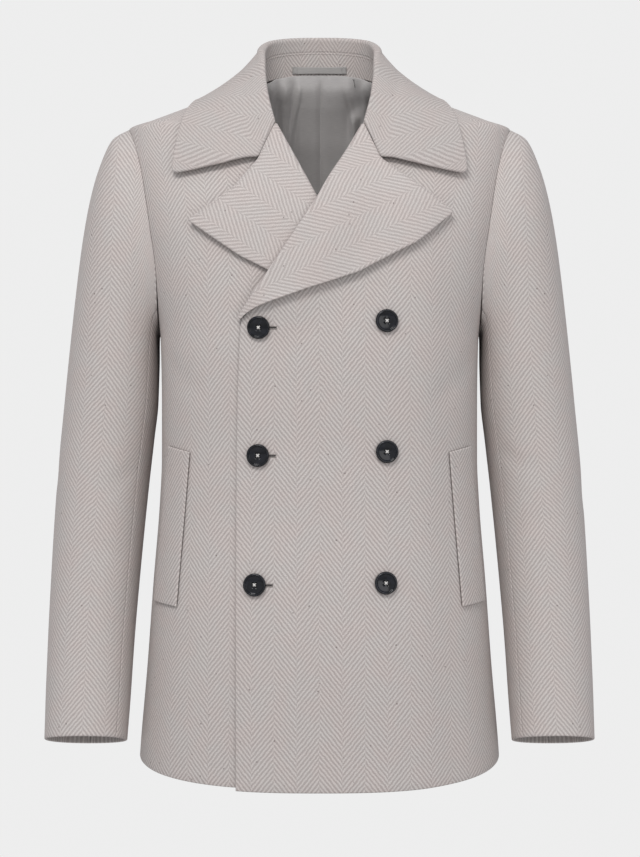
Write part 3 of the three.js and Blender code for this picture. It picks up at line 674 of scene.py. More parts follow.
def overlap_lift(x: Array, z: Array) -> Array:
    """How far the upper front's face stands off the body: over the overlap, and over the tucked
    lapel.

    Args:
        x: Places across.
        z: Heights.

    Returns:
        Heights in millimetres.
    """
    wide = 1 - smoothstep(104, 152, x)
    tall = 1 - smoothstep(-142, -96, z)
    a, b = TUCK_LINE
    along = b - a
    t = np.clip(((x - a[0]) * along[0] + (z - a[1]) * along[1]) / along.dot(along), 0, 1)
    away = np.hypot(x - a[0] - t * along[0], z - a[1] - t * along[1])
    return CLOTH.overlap_lift * wide * tall + CLOTH.tuck_lift * (1 - smoothstep(24, 74, away))


def no_lift(x: Array, z: Array) -> Array:
    """The under front lies on the body itself."""
    return np.zeros(np.broadcast(x, z).shape)


@dataclass(frozen=True)
class Crease:
    """A soft trough (depth below 0) or ridge between two points, fading at its ends."""

    start: tuple
    end: tuple
    depth: float
    width: float

    def height(self, p: Array) -> Array:
        """Height of the crease at points: a bell over the distance from its line.

        Args:
            p: Points.

        Returns:
            Heights in millimetres.
        """
        a, b = np.array(self.start, dtype=float), np.array(self.end, dtype=float)
        along = b - a
        t = np.sum((p - a) * along, axis=-1) / along.dot(along)
        near = a + np.clip(t, 0, 1)[..., None] * along
        away = np.linalg.norm(p - near, axis=-1)
        fade = smoothstep(-0.35, 0.35, t) * (1 - smoothstep(0.65, 1.35, t))
        return self.depth * fade * np.exp(-((away / self.width) ** 2))


def crease_height(creases: Sequence[Crease], p: Array) -> Array:
    """Sum of the heights of several creases at points.

    Args:
        creases: The creases.
        p: Points.

    Returns:
        Heights in millimetres.
    """
    total = np.zeros(p.shape[:-1])
    for crease in creases:
        total = total + crease.height(p)
    return total


# Meshes

def make_mesh(name: str, points: Array, faces: Array, uv: Optional[Array] = None) -> bpy.types.Object:
    """Object with a smooth mesh.

    Args:
        name: Name of the object.
        points: Vertices in millimetres.
        faces: Rows of vertex numbers, four or three to a row; a repeated last number marks a triangle.
        uv: Flat place of each vertex in millimetres.

    Returns:
        The new object, in the scene at the origin.
    """
    rows = [tuple(dict.fromkeys(row)) for row in np.asarray(faces).tolist()]
    mesh = bpy.data.meshes.new(name)
    mesh.from_pydata((np.asarray(points) * MM).tolist(), [], rows)
    if uv is not None:
        layer = mesh.uv_layers.new(name=UV_NAME)
        corner = np.zeros(len(mesh.loops), dtype=np.int32)
        mesh.loops.foreach_get("vertex_index", corner)
        layer.data.foreach_set("uv", np.asarray(uv, dtype=np.float32)[corner].ravel())
    mesh.polygons.foreach_set("use_smooth", np.ones(len(mesh.polygons), dtype=bool))
    mesh.update()
    obj = bpy.data.objects.new(name, mesh)
    bpy.context.scene.collection.objects.link(obj)
    return obj


def grid_faces(index: Array, flip: bool = False) -> Array:
    """Quads of a grid of vertex numbers.

    Args:
        index: Vertex numbers in rows.
        flip: True to turn the faces round.

    Returns:
        Faces in rows.
    """
    quads = np.stack([index[:-1, :-1], index[:-1, 1:], index[1:, 1:], index[1:, :-1]], axis=-1)
    quads = quads.reshape(-1, 4)
    return quads[:, ::-1] if flip else quads


def signed_volume(points: Array, faces: Array) -> float:
    """Volume inside closed faces, positive when they face out.

    Args:
        points: Points.
        faces: Vertex numbers of the faces.

    Returns:
        The volume.
    """
    a, b, c, d = (points[faces[:, k]] for k in range(4))
    one = np.sum(a * np.cross(b, c))
    two = np.sum(a * np.cross(c, d))
    return float(one + two) / 6


def add_edge_lines(channels: Array, radius: float) -> tuple[Array, Array]:
    """Adds lines of points beside each border for a round edge.

    A border gets three more lines, at the distances at which a half circle of the given radius has
    turned by 30, 60 and 90 degrees.

    Args:
        channels: Grid whose first three values are the point.
        radius: Radius of the edge.

    Returns:
        The larger grid, and at each of its points the share of the half thickness.
    """
    turn = np.radians([0, 30, 60, 90])
    inset = radius * (1 - np.cos(turn))
    share = np.sin(turn)
    for _ in range(2):
        first, second = channels[:, :1], channels[:, 1:2]
        last, before = channels[:, -1:], channels[:, -2:-1]
        cell = np.linalg.norm((second - first)[..., :3], axis=-1, keepdims=True)
        end_cell = np.linalg.norm((before - last)[..., :3], axis=-1, keepdims=True)
        at_start = inset[None, :, None] / np.maximum(cell, 1.2 * radius)
        at_end = inset[None, ::-1, None] / np.maximum(end_cell, 1.2 * radius)
        start = first + (second - first) * at_start
        end = last + (before - last) * at_end
        channels = np.concatenate([start, channels[:, 1:-1], end], axis=1).swapaxes(0, 1)
    rows, columns = channels.shape[:2]

    def profile(count: int) -> Array:
        """Share of the half thickness along one way: full, and less near both ends.

        Args:
            count: Number of points.

        Returns:
            One share for each point.
        """
        line = np.ones(count)
        line[:4] = share
        line[-4:] = share[::-1]
        return line

    return channels, profile(rows)[:, None] * profile(columns)[None]


def round_shell(
    name: str,
    middle: Array,
    normals: Array,
    thickness: float,
    uv: Array,
    edge: Optional[float] = None,
) -> bpy.types.Object:
    """Closed cloth shell with round edges.

    The outer and inner faces are the middle surface moved along its normals by half the thickness,
    which falls to 0 at the border as on a half circle, so both faces share the border's points.

    Args:
        name: Name of the object.
        middle: Middle surface as rows of points.
        normals: Unit normals of it, outward.
        thickness: Thickness of the cloth.
        uv: Flat place of each point.
        edge: Radius of the edges; half the thickness unless given.

    Returns:
        The object.
    """
    radius = thickness / 2 if edge is None else edge
    grid, share = add_edge_lines(np.concatenate([middle, normals, uv], axis=-1), radius)
    point, normal, place = grid[..., :3], unit(grid[..., 3:6]), grid[..., 6:8]
    offset = normal * (share * thickness / 2)[..., None]
    rows, columns = share.shape
    outer_index = np.arange(rows * columns).reshape(rows, columns)
    inner_index = outer_index.copy()
    inside = (slice(1, -1), slice(1, -1))
    inner_index[inside] = rows * columns + np.arange((rows - 2) * (columns - 2)).reshape(rows - 2, -1)
    points = np.concatenate([(point + offset).reshape(-1, 3), (point - offset)[inside].reshape(-1, 3)])
    places = np.concatenate([place.reshape(-1, 2), place[inside].reshape(-1, 2)])
    faces = np.concatenate([grid_faces(outer_index), grid_faces(inner_index, flip=True)])
    if signed_volume(points, faces) < 0:
        faces = faces[:, ::-1]
    return make_mesh(name, points, faces, places)


def surface_area(grid: Array) -> float:
    """Area of a grid's surface in square metres.

    Args:
        grid: Rows of points.

    Returns:
        The area.
    """
    a = np.cross(grid[:-1, 1:] - grid[:-1, :-1], grid[1:, 1:] - grid[:-1, :-1])
    b = np.cross(grid[1:, 1:] - grid[:-1, :-1], grid[1:, :-1] - grid[:-1, :-1])
    return float(np.linalg.norm(a, axis=-1).sum() + np.linalg.norm(b, axis=-1).sum()) / 2e6


def stitch_mesh(name: str, starts: Array, ends: Array, normals: Array, radius: float, arch: float
                ) -> bpy.types.Object:
    """Short thread stitches as one mesh.

    Each stitch is a tube along an arch from its start to its end, whose radius falls to 0 at both
    ends as the square root of a sine.

    Args:
        name: Name of the object.
        starts: Where the stitches come out.
        ends: Where they go in.
        normals: Unit normals of the cloth there.
        radius: Radius of the thread.
        arch: Height of the arch.

    Returns:
        The object.
    """
    rings, sides = 5, 6
    t = np.linspace(0, 1, rings + 2)
    along = unit(ends - starts)
    aside = unit(np.cross(along, normals))
    centre = starts[:, None] + (ends - starts)[:, None] * t[None, :, None]
    centre = centre + normals[:, None] * (arch * np.sin(math.pi * t))[None, :, None]
    around = np.linspace(0, 2 * math.pi, sides, endpoint=False)
    size = radius * np.sqrt(np.sin(math.pi * t[1:-1]))
    ring = (
        np.cos(around)[None, None, :, None] * normals[:, None, None]
        + np.sin(around)[None, None, :, None] * aside[:, None, None]
    ) * size[None, :, None, None]
    body = (centre[:, 1:-1, None] + ring).reshape(len(starts), -1, 3)
    points = np.concatenate([centre[:, :1], body, centre[:, -1:]], axis=1)
    per = points.shape[1]
    index = 1 + np.arange(rings * sides).reshape(rings, sides)
    wrapped = np.concatenate([index, index[:, :1]], axis=1)
    tube = grid_faces(wrapped)
    first = np.stack([np.zeros(sides, int), wrapped[0, 1:], wrapped[0, :-1], np.zeros(sides, int)], axis=1)
    tail = np.full(sides, per - 1)
    last = np.stack([tail, wrapped[-1, :-1], wrapped[-1, 1:], tail], axis=1)
    one = np.concatenate([tube, first, last])
    faces = (one[None] + (np.arange(len(starts)) * per)[:, None, None]).reshape(-1, 4)
    points = points.reshape(-1, 3)
    if signed_volume(points, faces) < 0:
        faces = faces[:, ::-1]
    return make_mesh(name, points, faces)


def stitch_row(line: Array, normals: Array, pitch: float, length: float) -> tuple[Array, Array, Array]:
    """Starts, ends and normals of stitches in a row along a line.

    Args:
        line: Points of the line.
        normals: Normals at these points.
        pitch: Distance from one stitch to the next.
        length: Length of a stitch.

    Returns:
        Three arrays for stitch_mesh.
    """
    both = np.concatenate([line, normals], axis=1)
    total = np.linalg.norm(np.diff(line, axis=0), axis=1).sum()
    run = np.concatenate([[0.0], np.cumsum(np.linalg.norm(np.diff(line, axis=0), axis=1))])
    begin = np.arange(pitch / 2, total - pitch, pitch)

    def at(place: Array) -> Array:
        """Points and normals at lengths along the line."""
        return np.stack([np.interp(place, run, both[:, k]) for k in range(6)], axis=1)

    a, b = at(begin), at(begin + length)
    return a[:, :3], b[:, :3], unit(a[:, 3:])


# Materials

class Nodes:
    """Short way to add and link nodes in a tree."""

    def __init__(self, tree: bpy.types.NodeTree) -> None:
        """Keeps the tree."""
        self.tree = tree

    @classmethod
    def fresh(cls, owner: bpy.types.ID) -> "Nodes":
        """Empties the node tree of a material or world.

        Args:
            owner: The material or world.

        Returns:
            Its empty tree.
        """
        owner.use_nodes = True
        owner.node_tree.nodes.clear()
        return cls(owner.node_tree)

    def feed(self, socket: bpy.types.NodeSocket, value: object) -> None:
        """Links an output to a socket, or sets the socket's own value.

        Args:
            socket: The input.
            value: An output socket or a plain value.
        """
        if isinstance(value, bpy.types.NodeSocket):
            self.tree.links.new(value, socket)
        else:
            socket.default_value = value

    def add(self, kind: str, **values: object) -> bpy.types.Node:
        """New node. A name of an attribute sets it, in_NAME sets the input of that name or number.

        Args:
            kind: Type of the node.
            **values: Attributes and inputs.

        Returns:
            The node.
        """
        node = self.tree.nodes.new(kind)
        for key, value in values.items():
            if key.startswith("in_"):
                name = key[3:]
                socket = node.inputs[int(name)] if name.isdigit() else node.inputs[name.replace("_", " ")]
                self.feed(socket, value)
            else:
                setattr(node, key, value)
        return node

    def math(self, operation: str, a: object, b: object = 0.0, c: object = 0.0, clamp: bool = False
             ) -> bpy.types.NodeSocket:
        """Output of a Math node."""
        node = self.add("ShaderNodeMath", operation=operation, use_clamp=clamp, in_0=a, in_1=b, in_2=c)
        return node.outputs[0]

    def mix(self, share: object, a: object, b: object, blend: str = "MIX") -> bpy.types.NodeSocket:
        """Output of a colour mix.

        Args:
            share: Share of the second colour.
            a: First colour.
            b: Second colour.
            blend: Way of mixing.

        Returns:
            The output.
        """
        node = self.add("ShaderNodeMix", data_type="RGBA", blend_type=blend)
        for number, value in ((0, share), (6, a), (7, b)):
            self.feed(node.inputs[number], value)
        return node.outputs[2]

    def noise(self, vector: object, scale: float, detail: float = 2.0, rough: float = 0.5
              ) -> bpy.types.NodeSocket:
        """Value of a noise texture.

        Args:
            vector: Place in the texture.
            scale: Scale of the noise.
            detail: Number of octaves.
            rough: Strength of the fine octaves.

        Returns:
            The output.
        """
        node = self.add("ShaderNodeTexNoise", in_Scale=scale, in_Detail=detail, in_Roughness=rough)
        self.tree.links.new(vector, node.inputs["Vector"])
        return node.outputs["Fac"]

    def step(self, value: object, low: float, high: float, to_low: float = 0.0, to_high: float = 1.0
             ) -> bpy.types.NodeSocket:
        """Smooth step of a value.

        Args:
            value: Value to step.
            low: Where the step starts.
            high: Where the step ends.
            to_low: Value below the step.
            to_high: Value above the step.

        Returns:
            The output.
        """
        node = self.add("ShaderNodeMapRange", interpolation_type="SMOOTHSTEP")
        for number, part in enumerate((value, low, high, to_low, to_high)):
            self.feed(node.inputs[number], part)
        return node.outputs[0]


def herringbone_group() -> bpy.types.NodeTree:
    """Node group that puts out the twill lines of a herringbone weave.

    The place is in millimetres. Columns of the given width take turns in direction. The line number
    is the length up over the rise plus the share of the column times the lines across; its fraction,
    folded to a triangle wave, gives the line and its height.


    Returns:
        The group.
    """
    group = bpy.data.node_groups.new("Herringbone", "ShaderNodeTree")
    face = group.interface
    face.new_socket("Place", in_out="INPUT", socket_type="NodeSocketVector")
    for name, value in (("Column", 25.0), ("Rise", 6.2), ("Lines", 5.0), ("Waver", 0.5)):
        face.new_socket(name, in_out="INPUT", socket_type="NodeSocketFloat").default_value = value
    for name in ("Line", "Height", "Fibre", "Fleck", "Patch"):
        face.new_socket(name, in_out="OUTPUT", socket_type="NodeSocketFloat")
    n = Nodes(group)
    source = n.add("NodeGroupInput")
    place = source.outputs["Place"]
    wobble = n.add("ShaderNodeTexNoise", in_Scale=0.16, in_Detail=2.0)
    group.links.new(place, wobble.inputs["Vector"])
    centred = n.add("ShaderNodeVectorMath", operation="SUBTRACT", in_0=wobble.outputs["Color"])
    centred.inputs[1].default_value = (0.5, 0.5, 0.5)
    scaled = n.add("ShaderNodeVectorMath", operation="SCALE", in_0=centred.outputs[0])
    group.links.new(n.math("MULTIPLY", source.outputs["Waver"], 4.0), scaled.inputs["Scale"])
    moved = n.add("ShaderNodeVectorMath", operation="ADD", in_0=place, in_1=scaled.outputs[0])
    split = n.add("ShaderNodeSeparateXYZ", in_0=moved.outputs[0])
    across = n.math("DIVIDE", split.outputs[0], source.outputs["Column"])
    share = n.math("FRACT", across)
    parity = n.math("FLOORED_MODULO", n.math("FLOOR", across), 2.0)
    back = n.math("SUBTRACT", 1.0, n.math("MULTIPLY", share, 2.0))
    folded = n.math("ADD", share, n.math("MULTIPLY", parity, back))
    rise = n.math("DIVIDE", split.outputs[1], source.outputs["Rise"])
    number = n.math("ADD", rise, n.math("MULTIPLY", folded, source.outputs["Lines"]))
    number = n.math("ADD", number, n.math("MULTIPLY", parity, 0.5))
    wave = n.math("ABSOLUTE", n.math("SUBTRACT", n.math("MULTIPLY", n.math("FRACT", number), 2.0), 1.0))
    fine = n.noise(place, 1.1, 3.0, 0.7)
    ragged = n.math("ADD", wave, n.math("MULTIPLY", n.math("SUBTRACT", fine, 0.5), 0.9))
    line = n.step(ragged, 0.40, 0.60)
    fibre = n.noise(place, 0.9, 5.0, 0.78)
    spots = n.add("ShaderNodeTexVoronoi", feature="F1", in_Scale=0.105, in_Randomness=1.0)
    group.links.new(moved.outputs[0], spots.inputs["Vector"])
    chance = n.add("ShaderNodeSeparateColor", in_0=spots.outputs["Color"]).outputs[0]
    rare = n.math("GREATER_THAN", chance, 0.8)
    near = n.math("SUBTRACT", 1.0, n.step(spots.outputs["Distance"], 0.035, 0.13))
    patch = n.noise(place, 0.028, 3.0, 0.6)
    sink = n.add("NodeGroupOutput")
    height = n.math("ADD", n.math("MULTIPLY", wave, 0.6), n.math("MULTIPLY", fibre, 0.55))
    for name, socket in (
        ("Line", line), ("Height", height), ("Fibre", fibre),
        ("Fleck", n.math("MULTIPLY", rare, near)), ("Patch", patch),
    ):
        group.links.new(socket, sink.inputs[name])
    return group


@dataclass(frozen=True)
class WoolFinish:
    """Matte brushed wool in a herringbone of two yarns."""

    name: str = "herringbone_wool"
    ground: tuple = (0.468, 0.418, 0.402, 1)
    line: tuple = (0.635, 0.587, 0.562, 1)
    fleck: tuple = (0.13, 0.10, 0.095, 1)
    fleck_share: float = 0.75
    # Colour of the painted shade in crevices and under edges, and how far its occlusion test reaches.
    painted_crevice_shade: tuple = (0.085, 0.07, 0.066, 1)
    crevice: float = 0.007
    bump: float = 0.35

    def build(self, group: bpy.types.NodeTree) -> bpy.types.Material:
        """Material of the finish, with the weave's node group and painted shade that darkens its crevices.

        Args:
            group: The weave's node group.

        Returns:
            The material.
        """
        material = bpy.data.materials.new(self.name)
        n = Nodes.fresh(material)
        uv = n.add("ShaderNodeUVMap", uv_map=UV_NAME).outputs[0]
        weave = n.add("ShaderNodeGroup", node_tree=group, in_Place=uv)
        base = n.mix(weave.outputs["Line"], self.ground, self.line)
        shade = n.step(weave.outputs["Fibre"], 0.3, 0.7, 0.80, 1.16)
        tone = n.add("ShaderNodeCombineColor", in_0=shade, in_1=shade, in_2=shade).outputs[0]
        base = n.mix(1.0, base, tone, "MULTIPLY")
        warm = n.step(weave.outputs["Patch"], 0.35, 0.65)
        tint = n.mix(warm, (0.985, 1.0, 1.0, 1), (1.0, 0.985, 0.98, 1))
        base = n.mix(1.0, base, tint, "MULTIPLY")
        base = n.mix(n.math("MULTIPLY", weave.outputs["Fleck"], self.fleck_share), base, self.fleck)
        # Painted shade: where ambient occlusion finds cloth close by, in crevices, under edges and between
        # layers, the colour goes to a near-black brown.
        open_air = n.add("ShaderNodeAmbientOcclusion", samples=6, in_Distance=self.crevice).outputs["AO"]
        base = n.mix(n.step(open_air, 0.05, 0.62), self.painted_crevice_shade, base)
        height = weave.outputs["Height"]
        bump = n.add("ShaderNodeBump", in_Strength=self.bump, in_Distance=0.0008, in_Height=height)
        shader = n.add("ShaderNodeBsdfPrincipled", in_Base_Color=base, in_Normal=bump.outputs[0])
        shader.inputs["Roughness"].default_value = 0.95
        shader.inputs["Sheen Weight"].default_value = 0.1
        shader.inputs["Sheen Roughness"].default_value = 0.5
        shader.inputs["Sheen Tint"].default_value = (0.9, 0.87, 0.85, 1)
        shader.inputs["Specular IOR Level"].default_value = 0.06
        n.add("ShaderNodeOutputMaterial", in_Surface=shader.outputs[0])
        return material


@dataclass(frozen=True)
class SatinFinish:
    """Soft grey satin with fine threads across and a gloss that follows them."""

    name: str = "grey_satin"
    colour: tuple = (0.52, 0.502, 0.492, 1)
    roughness: float = 0.36

    def build(self) -> bpy.types.Material:
        """Material of the finish.

        Returns:
            The material.
        """
        material = bpy.data.materials.new(self.name)
        n = Nodes.fresh(material)
        uv = n.add("ShaderNodeUVMap", uv_map=UV_NAME).outputs[0]
        split = n.add("ShaderNodeSeparateXYZ", in_0=uv)
        thread = n.math("SINE", n.math("MULTIPLY", split.outputs[1], 2 * math.pi / 0.35))
        stretched = n.add("ShaderNodeVectorMath", operation="MULTIPLY", in_0=uv)
        stretched.inputs[1].default_value = (0.12, 2.2, 1.0)
        streak = n.noise(stretched.outputs[0], 1.0, 3.0)
        colour = n.mix(n.step(streak, 0.3, 0.7), self.colour, tuple(1.12 * c for c in self.colour[:3]) + (1,))
        height = n.math("ADD", n.math("MULTIPLY", thread, 0.3), streak)
        bump = n.add("ShaderNodeBump", in_Strength=0.12, in_Distance=0.0003, in_Height=height)
        shader = n.add("ShaderNodeBsdfPrincipled", in_Base_Color=colour, in_Normal=bump.outputs[0])
        shader.inputs["Roughness"].default_value = self.roughness
        shader.inputs["Anisotropic"].default_value = 0.4
        shader.inputs["Sheen Weight"].default_value = 0.15
        n.add("ShaderNodeOutputMaterial", in_Surface=shader.outputs[0])
        return material


@dataclass(frozen=True)
class ButtonFinish:
    """Polished black-navy buttons with faint swirls."""

    name: str = "button_gloss"
    dark: tuple = (0.0045, 0.005, 0.007, 1)
    light: tuple = (0.011, 0.012, 0.018, 1)

    def build(self) -> bpy.types.Material:
        """Material of the finish.

        Returns:
            The material.
        """
        material = bpy.data.materials.new(self.name)
        n = Nodes.fresh(material)
        place = n.add("ShaderNodeTexCoord").outputs["Object"]
        swirl = n.add("ShaderNodeTexNoise", in_Scale=90.0, in_Detail=3.0, in_Distortion=1.6)
        n.tree.links.new(place, swirl.inputs["Vector"])
        colour = n.mix(n.step(swirl.outputs["Fac"], 0.35, 0.7), self.dark, self.light)
        fine = n.noise(place, 1400.0, 2.0)
        rough = n.step(fine, 0.2, 0.8, 0.09, 0.14)
        shader = n.add("ShaderNodeBsdfPrincipled", in_Base_Color=colour, in_Roughness=rough)
        shader.inputs["Specular IOR Level"].default_value = 0.42
        n.add("ShaderNodeOutputMaterial", in_Surface=shader.outputs[0])
        return material


@dataclass(frozen=True)
class ThreadFinish:
    """Sewing thread with a fine twist."""

    name: str
    colour: tuple

    def build(self) -> bpy.types.Material:
        """Material of the finish.

        Returns:
            The material.
        """
        material = bpy.data.materials.new(self.name)
        n = Nodes.fresh(material)
        place = n.add("ShaderNodeTexCoord").outputs["Object"]
        twist = n.noise(place, 2600.0, 2.0)
        darker = tuple(0.7 * c for c in self.colour[:3]) + (1,)
        colour = n.mix(n.step(twist, 0.3, 0.7), darker, self.colour)
        bump = n.add("ShaderNodeBump", in_Strength=0.4, in_Distance=0.0001, in_Height=twist)
        shader = n.add("ShaderNodeBsdfPrincipled", in_Base_Color=colour, in_Normal=bump.outputs[0])
        shader.inputs["Roughness"].default_value = 0.7
        shader.inputs["Sheen Weight"].default_value = 0.2
        n.add("ShaderNodeOutputMaterial", in_Surface=shader.outputs[0])
        return material


@dataclass
class Finishes:
    """The finishes of the coat, built once."""

    wool: bpy.types.Material
    lapel_wool: bpy.types.Material
    collar_wool: bpy.types.Material
    satin: bpy.types.Material
    loop_satin: bpy.types.Material
    button: bpy.types.Material
    pale_thread: bpy.types.Material
    dark_thread: bpy.types.Material
    wool_thread: bpy.types.Material
    grey_thread: bpy.types.Material

    @classmethod
    def build(cls) -> "Finishes":
        """Builds every material.

        Returns:
            The finishes.
        """
        group = herringbone_group()
        lapel = WoolFinish("lapel_wool", (0.485, 0.435, 0.418, 1), (0.618, 0.570, 0.546, 1))
        # Painted shade: the collar's wool is the lapel wool darkened to 0.935 of its colours, so the
        # turned-up collar reads less lit.
        collar = WoolFinish("collar_wool", (0.453, 0.407, 0.391, 1), (0.578, 0.533, 0.511, 1))
        return cls(
            wool=WoolFinish().build(group),
            lapel_wool=lapel.build(group),
            collar_wool=collar.build(group),
            satin=SatinFinish().build(),
            loop_satin=SatinFinish("loop_satin", (0.37, 0.358, 0.345, 1)).build(),
            button=ButtonFinish().build(),
            pale_thread=ThreadFinish("pale_thread", (0.82, 0.80, 0.77, 1)).build(),
            # The dark thread colour is real thread on the loop and tack, and painted shade in the buttonhole
            # slits.
            dark_thread=ThreadFinish("dark_thread", (0.05, 0.043, 0.042, 1)).build(),
            wool_thread=ThreadFinish("wool_thread", (0.38, 0.34, 0.32, 1)).build(),
            grey_thread=ThreadFinish("grey_thread", (0.22, 0.21, 0.205, 1)).build(),
        )


@dataclass(frozen=True)
class Cut:
    """Flat size of a piece of cloth in metres, its area and what holds it."""

    width: float
    length: float
    area: float
    held: str = "stretched"
    rests_on: tuple = ("back",)


def place_piece(
    obj: bpy.types.Object,
    material: bpy.types.Material,
    nodes: Sequence[str] = (),
) -> bpy.types.Object:
    """Gives a piece its finish and body, and hides the CAD nodes that it stands for.

    Args:
        obj: The piece.
        material: Its finish.
        nodes: CAD nodes that it stands for.

    Returns:
        The piece.
    """
    obj.data.materials.append(material)
    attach(obj, "root")
    if nodes:
        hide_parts(*nodes)
    log.info("%s: %d faces", obj.name, len(obj.data.polygons))
    return obj


# Pieces of the coat

def armhole_points(side: Side, angle: Array, face: Array) -> Array:
    """Points of the armhole's edge: angle 0 at the shoulder, pi at the underarm; face -1 is the front
    half and 1 the back half.

    Args:
        side: Side of the coat.
        angle: Angle round the sleeve or armhole.
        face: -1 for the front, 1 for the back.

    Returns:
        Points of the edge.
    """
    middle = (LENGTHS.shoulder_z + LENGTHS.underarm_z) / 2
    half_height = (LENGTHS.shoulder_z - LENGTHS.underarm_z) / 2
    reach = np.maximum(0, np.sin(angle)) ** 0.85 * (1 - 0.25 * np.cos(angle))
    y = face * LENGTHS.armhole_half_depth * reach
    z = middle + half_height * np.cos(angle)
    n = BODY.square(z)
    depth = np.where(y < 0, BODY.front(z), BODY.back(z))
    x = BODY.half(z) * (1 - (np.abs(y) / depth) ** n) ** (1 / n)
    return np.stack([side.value * x, y, z], axis=-1)


def side_border(side: Side, face: int, fine: int) -> Array:
    """Side seam and armhole from the hem to the shoulder point.

    Args:
        side: Side of the coat.
        face: -1 for the front, 1 for the back.
        fine: Number of parts of each cell.

    Returns:
        Points of the border.
    """
    z = np.linspace(LENGTHS.hem_side_z, LENGTHS.underarm_z, SEAM_ROWS * fine + 1)[:-1]
    seam = np.stack([side.value * BODY.half(z), np.zeros(len(z)), z], axis=-1)
    angle = math.pi * (1 - np.arange(ARMHOLE_ROWS * fine + 1) / (ARMHOLE_ROWS * fine))
    return np.vstack([seam, armhole_points(side, angle, np.float64(face))])


def hem_border(side: Side, face: int, end_x: float, drop: float, count: int, bias: float) -> Array:
    """Hem from the side seam to the given x, on the front (face -1) or on the back (face 1).

    Args:
        side: Side of the coat.
        face: -1 for the front, 1 for the back.
        end_x: Where the hem ends.
        drop: How far the hem's end hangs below its start.
        count: Number of parts.
        bias: Above 1 puts the points closer at the start.

    Returns:
        Points of the border.
    """
    z = LENGTHS.hem_side_z
    n, half = float(BODY.square(z)), float(BODY.half(z))
    depth = float(BODY.front(z) if face < 0 else BODY.back(z))
    angle = math.pi * np.arange(121) / 120
    x = side.value * half * np.sign(np.cos(angle)) * np.abs(np.cos(angle)) ** (2 / n)
    keep = side.value * x >= side.value * end_x
    share = np.abs(np.sin(angle)) ** (2 / n)
    points = np.stack([x, face * depth * share, z - drop * share**LENGTHS.hem_curve], axis=-1)[keep]
    end_share = (1 - (abs(end_x) / half) ** n) ** (1 / n)
    points[-1] = (end_x, face * depth * end_share, z - drop * end_share**LENGTHS.hem_curve)
    fine = BODY.project(points)
    fine[0, 1] = 0
    return resample(smooth_line(fine, 8), count, bias)


def shoulder_border(side: Side, count: int, bias: float) -> Array:
    """Shoulder seam from the shoulder point to the neck point.

    Args:
        side: Side of the coat.
        count: Number of parts.
        bias: Above 1 puts the points closer at the start.

    Returns:
        Points of the border.
    """
    x = float(BODY.half(LENGTHS.shoulder_z))
    line = np.array([(side.value * x, 0, LENGTHS.shoulder_z), (side.value * LENGTHS.neck_point_x, 0, 0)])
    seam = BODY.project(resample(line, count, bias))
    seam[:, 1] = 0
    return seam


@dataclass
class FrontPanel:
    """One front: from its side seam to its front edge, roll line and neck seam."""

    side: Side
    roll: Array
    hem_drop: float
    lift: Height
    cut: Cut
    creases: tuple = ()
    columns: int = 13
    roll_rows: int = 9
    rounds: int = 60

    def grid(self, fine: int) -> Array:
        """Points of the panel on the body's surface.

        Args:
            fine: Number of parts of each cell.

        Returns:
            Rows of points.
        """
        sign = self.side.value
        columns = self.columns * fine
        left = side_border(self.side, -1, fine)
        bottom = hem_border(self.side, -1, -sign * LENGTHS.front_edge_x, self.hem_drop, columns, 1.2)
        top = shoulder_border(self.side, columns, 1.2)
        corner, roll_end = bottom[-1], self.roll[-1]
        share = np.arange(SEAM_ROWS * fine) / (SEAM_ROWS * fine)
        edge_x = corner[0] + (sign * roll_end[0] - corner[0]) * share**6
        edge = BODY.front_point(edge_x, corner[2] + (roll_end[1] - corner[2]) * share)
        line = resample(flat_points(self.roll[::-1], sign), self.roll_rows * fine)
        z = line[:, 2]
        inset = 1.0 + (LENGTHS.neck_inset - 1.0) * smoothstep(-100, -60, z)
        roll_line = BODY.front_point(line[:, 0] + sign * inset, z)
        inward = NECK_SEAM[:5] + np.outer(LENGTHS.neck_inset * (1 - np.arange(5) / 4), (1, 0, 0))
        neck_points = BODY.project(inward * (sign, 1, 1))
        neck = resample(smooth_line(neck_points), (ARMHOLE_ROWS - self.roll_rows) * fine)
        right = np.vstack([edge, roll_line, neck[1:]])
        right[-1, 1] = 0
        bottom[0], bottom[-1] = left[0], right[0]
        top[0], top[-1] = left[-1], right[-1]
        return fill_borders(bottom, top, left, right)

    def build(self, finishes: Finishes) -> bpy.types.Object:
        """Makes the panel.

        Args:
            finishes: The coat's finishes.

        Returns:
            The piece.
        """
        coarse = BODY.even_out(self.grid(1), 80)
        fine = self.grid(FINE)
        start = refine(coarse, FINE)
        start[0], start[-1] = fine[0], fine[-1]
        start[:, 0], start[:, -1] = fine[:, 0], fine[:, -1]
        surface = BODY.even_out(BODY.project(start, 3), self.rounds)
        uv = WEAVE(surface)
        normal = BODY.normal(surface)
        height = self.lift(surface[..., 0], surface[..., 2]) + crease_height(self.creases, surface)
        outer = surface + normal * height[..., None]
        true_normal = grid_normals(outer)
        true_normal *= np.sign(np.sum(true_normal * normal, axis=-1, keepdims=True))
        middle = outer - true_normal * CLOTH.body / 2
        name = f"front_{self.side.label}"
        log.info("%s: area %.4f m2", name, surface_area(surface))
        obj = round_shell(name + "_cloth", middle, true_normal, CLOTH.body, uv)
        return place_piece(obj, finishes.wool, [name])


@dataclass(frozen=True)
class LiningFold:
    """A fold of the lining that runs down from the neck; square above 2 makes its top flatter."""

    top_x: float
    bottom_x: float
    depth: float
    width: float
    top_z: float = 14
    bottom_z: float = -640
    bend: float = 1.0
    square: float = 2.0


